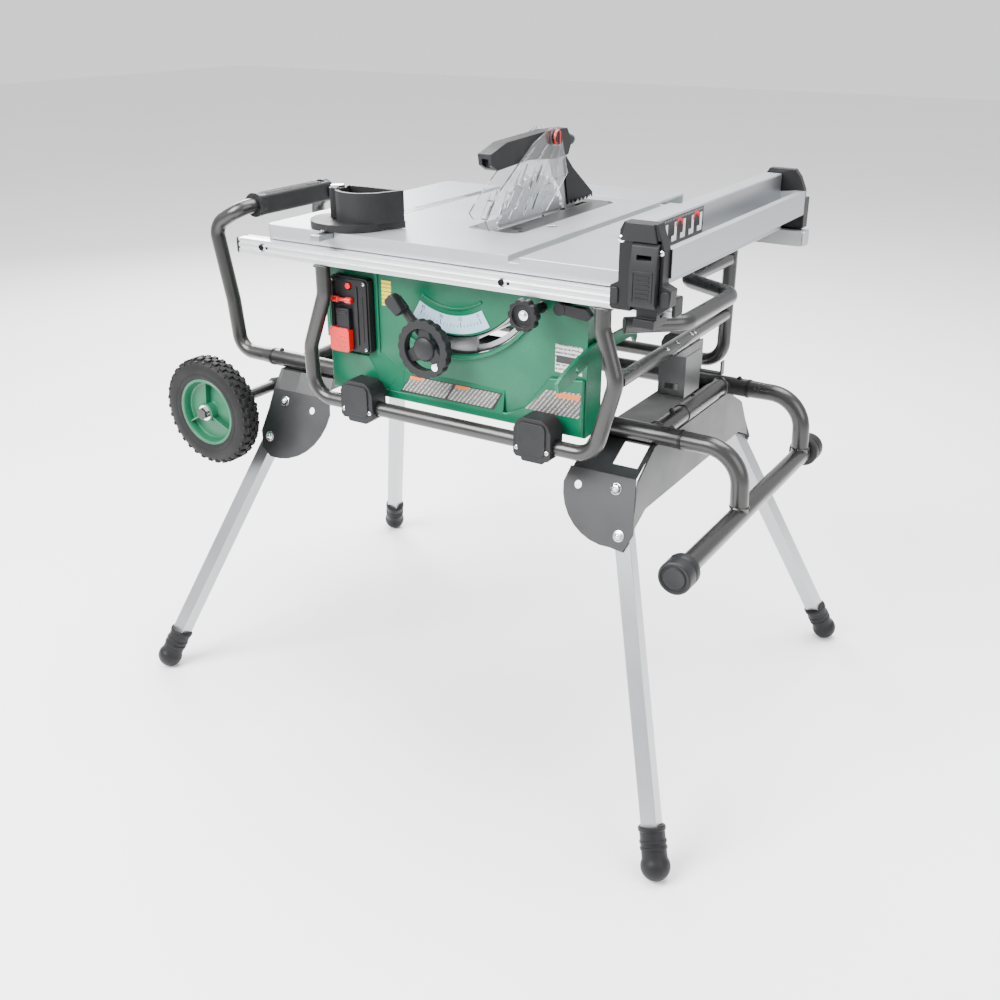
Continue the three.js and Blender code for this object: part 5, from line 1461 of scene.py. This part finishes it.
def buildSwitch():
    low, high = corners("switch_box")
    makePiece("switchBox", cadShape("switch_box"), "switch_box", [softBlack], bevel=2.2, segments=3)
    face = low.y
    rimOuter = prism(roundedOutline(low.x + 3, high.x - 3, low.z + 3, high.z - 3, 6), "y", face - 3,
                     face + 1)
    rimInner = prism(roundedOutline(low.x + 10, high.x - 32, low.z + 8, high.z - 8, 5), "y", face - 9,
                     face + 9)
    rim = carved(rimOuter, rimInner)
    rim += box(high.x - 27, high.x - 21, face - 5, face + 1, low.z + 14, high.z - 14)
    rim += box(high.x - 15, high.x - 10, face - 4, face + 1, low.z + 20, high.z - 30)
    makePiece("switchRim", rim, "switch_box", [blackPlastic], bevel=1.0, stands=False)
    screws = Shape()
    for sx in (low.x + 7, high.x - 8):
        for sz in (low.z + 8, high.z - 8):
            screws += crossScrew((sx, face - 2.4, sz), (0, -1, 0), 3.2, 0)
    makePiece("switchScrews", screws, "switch_box", [chrome, darkSteel, darkSteel], stands=False)
    button = corners("reset_button")
    mid = middle("reset_button")
    makePiece("resetButton",
              rod((mid.x, button[1].y, mid.z), (mid.x, button[0].y, mid.z), 5.2, 32, chamfer=0.8),
              "reset_button", [redPlastic])
    tLow, tHigh = corners("toggle_switch")
    tMid = middle("toggle_switch")
    keys = Shape()
    for kx in (tLow.x + 7, tHigh.x - 7):
        keys += rod((kx - 6.5, tMid.y, tMid.z), (kx + 6.5, tMid.y, tMid.z), 5.4, 32, chamfer=1.2)
    keys += rod((tLow.x + 4, tMid.y + 0.5, tMid.z), (tHigh.x - 4, tMid.y + 0.5, tMid.z), 3.4, 24)
    makePiece("toggleKeys", keys, "toggle_switch", [redPlastic])
    pLow, pHigh = corners("stop_paddle")
    flap = box(pLow.x + 14, pHigh.x - 1, pLow.y + 4, pHigh.y, pHigh.z - 44, pHigh.z)
    flap += box(pLow.x + 18, pHigh.x - 5, pLow.y + 2.6, pLow.y + 6, pHigh.z - 10, pHigh.z - 4)
    makePiece("stopFlap", flap, "stop_paddle", [blackPlastic], bevel=2.0, segments=3)
    red = prism(roundedOutline(pLow.x, pHigh.x, pLow.z, pLow.z + 42, 6), "y", pLow.y, pHigh.y)
    for step in range(3):
        red += box(pLow.x + 8, pHigh.x - 8, pLow.y - 1.2, pLow.y + 1, pLow.z + 9 + 8 * step,
                   pLow.z + 11.5 + 8 * step)
    makePiece("stopPaddle", red, "stop_paddle", [redPlastic], bevel=2.4, segments=3, stands=False)


# mitre gauge and push stick

def buildAccessories():
    makePiece("mitreBar", cadShape("miter_bar"), "miter_bar", [machineSteel], bevel=0.5, along=(0, 1, 0))
    makePiece("mitreHead", cadShape("miter_head"), "miter_head", [softBlack], bevel=2.0, segments=3)
    kLow, kHigh = corners("miter_knob")
    kx, ky, top = (kLow.x + kHigh.x) / 2, (kLow.y + kHigh.y) / 2, kHigh.z
    r = (kHigh.x - kLow.x) / 2
    ribbed = prism(lobed(kx, ky, r, 0.9, 24, 6), "z", kLow.z, top - 5)
    makePiece("mitreKnob", ribbed, "miter_knob", [blackPlastic], bevel=1.0, limit=55)
    makePiece("mitreKnobTop",
              turned([(0, 0), (r - 3, 0), (r - 3, 4), (r - 5, 5), (0, 5)], (kx, ky, top - 5.2),
                                     (0, 0, 1), 40), "miter_knob", [chrome], stands=False)
    hLow, hHigh = corners("miter_head")
    pointer = prism([(-162, hLow.y + 8), (-156, hLow.y + 8), (-156, hLow.y - 8), (-159, hLow.y - 16),
                     (-162, hLow.y - 8)], "z", hLow.z + 3, hLow.z + 5)
    pointer += dome((-159, hLow.y + 4, hLow.z + 5), (0, 0, 1), 3.4, 2)
    makePiece("mitrePointer", pointer, "miter_bar", [chrome], bevel=0.3, stands=False)
    face = box(hLow.x + 14, hHigh.x - 14, hHigh.y - 1.5, hHigh.y + 1.0, hLow.z + 14, hHigh.z - 4)
    makePiece("mitreFace", face, "miter_head", [machineSteel], bevel=0.5, stands=False)
    makePiece("pushStick", cadShape("push_stick"), "push_stick", [greenShell], bevel=1.6, segments=3)


buildFence()
buildBlade()
buildGuard()
buildMotor()
buildControls()
buildSwitch()
buildAccessories()
print("saw fittings made")


# room, lights and camera

room = dict(half=14.0, sky=1.2, aim=(0, 0, 0.6), lamps=(  # name, place, size, power
    ("key", (-1.2, -2.6, 3.0), 2.2, 430.0), ("fill", (3.2, -1.0, 2.2), 2.4, 90.0),
    ("top", (0.2, 0.6, 3.4), 2.6, 300.0), ("rim", (-2.8, 2.2, 2.2), 1.6, 150.0)))
view = dict(place=(1.09464, -1.76592, 1.29192), tilt=90 - 24.214, turn=31.71, lens=41.28, sensor=36.0)


def buildRoom():
    floorMaterial, tree, shader, where = startMaterial("floorPaint", "frame_paint", Roughness=0.7)
    cloud = noiseNode(tree, where, 1.5, 2.0)
    tree.links.new(mixColour(tree, cloud, (0.86, 0.86, 0.86, 1), (0.9, 0.9, 0.9, 1)),
                   shader.inputs["Base Color"])
    mesh = bpy.data.meshes.new("floor")
    half = room["half"]
    mesh.from_pydata([(-half, -half, 0), (half, -half, 0), (half, half, 0), (-half, half, 0)], [],
                     [(0, 1, 2, 3)])
    mesh.materials.append(floorMaterial)
    floor = bpy.data.objects.new("floor", mesh)
    floor.location.z = -0.0005
    bpy.context.scene.collection.objects.link(floor)

    world = bpy.data.worlds.new("studio")
    world.use_nodes = True
    sky = world.node_tree.nodes["Background"].inputs
    sky["Color"].default_value = (1.0, 1.0, 1.0, 1.0)
    sky["Strength"].default_value = room["sky"]
    bpy.context.scene.world = world

    for name, place, size, power in room["lamps"]:
        lamp = bpy.data.lights.new(name, "AREA")
        lamp.shape, lamp.size, lamp.energy = "SQUARE", size, power
        holder = bpy.data.objects.new(name, lamp)
        holder.location = place
        holder.rotation_euler = (Vector(room["aim"]) - Vector(place)).to_track_quat("-Z", "Y").to_euler()
        bpy.context.scene.collection.objects.link(holder)


def buildCamera():
    lens = bpy.data.cameras.new("camera")
    lens.lens, lens.sensor_width = view["lens"], view["sensor"]
    lens.clip_end = 60.0
    camera = bpy.data.objects.new("camera", lens)
    camera.location = view["place"]
    camera.rotation_euler = (math.radians(view["tilt"]), 0.0, math.radians(view["turn"]))
    bpy.context.scene.collection.objects.link(camera)
    bpy.context.scene.camera = camera


buildRoom()
buildCamera()
print("room, lights and camera made")
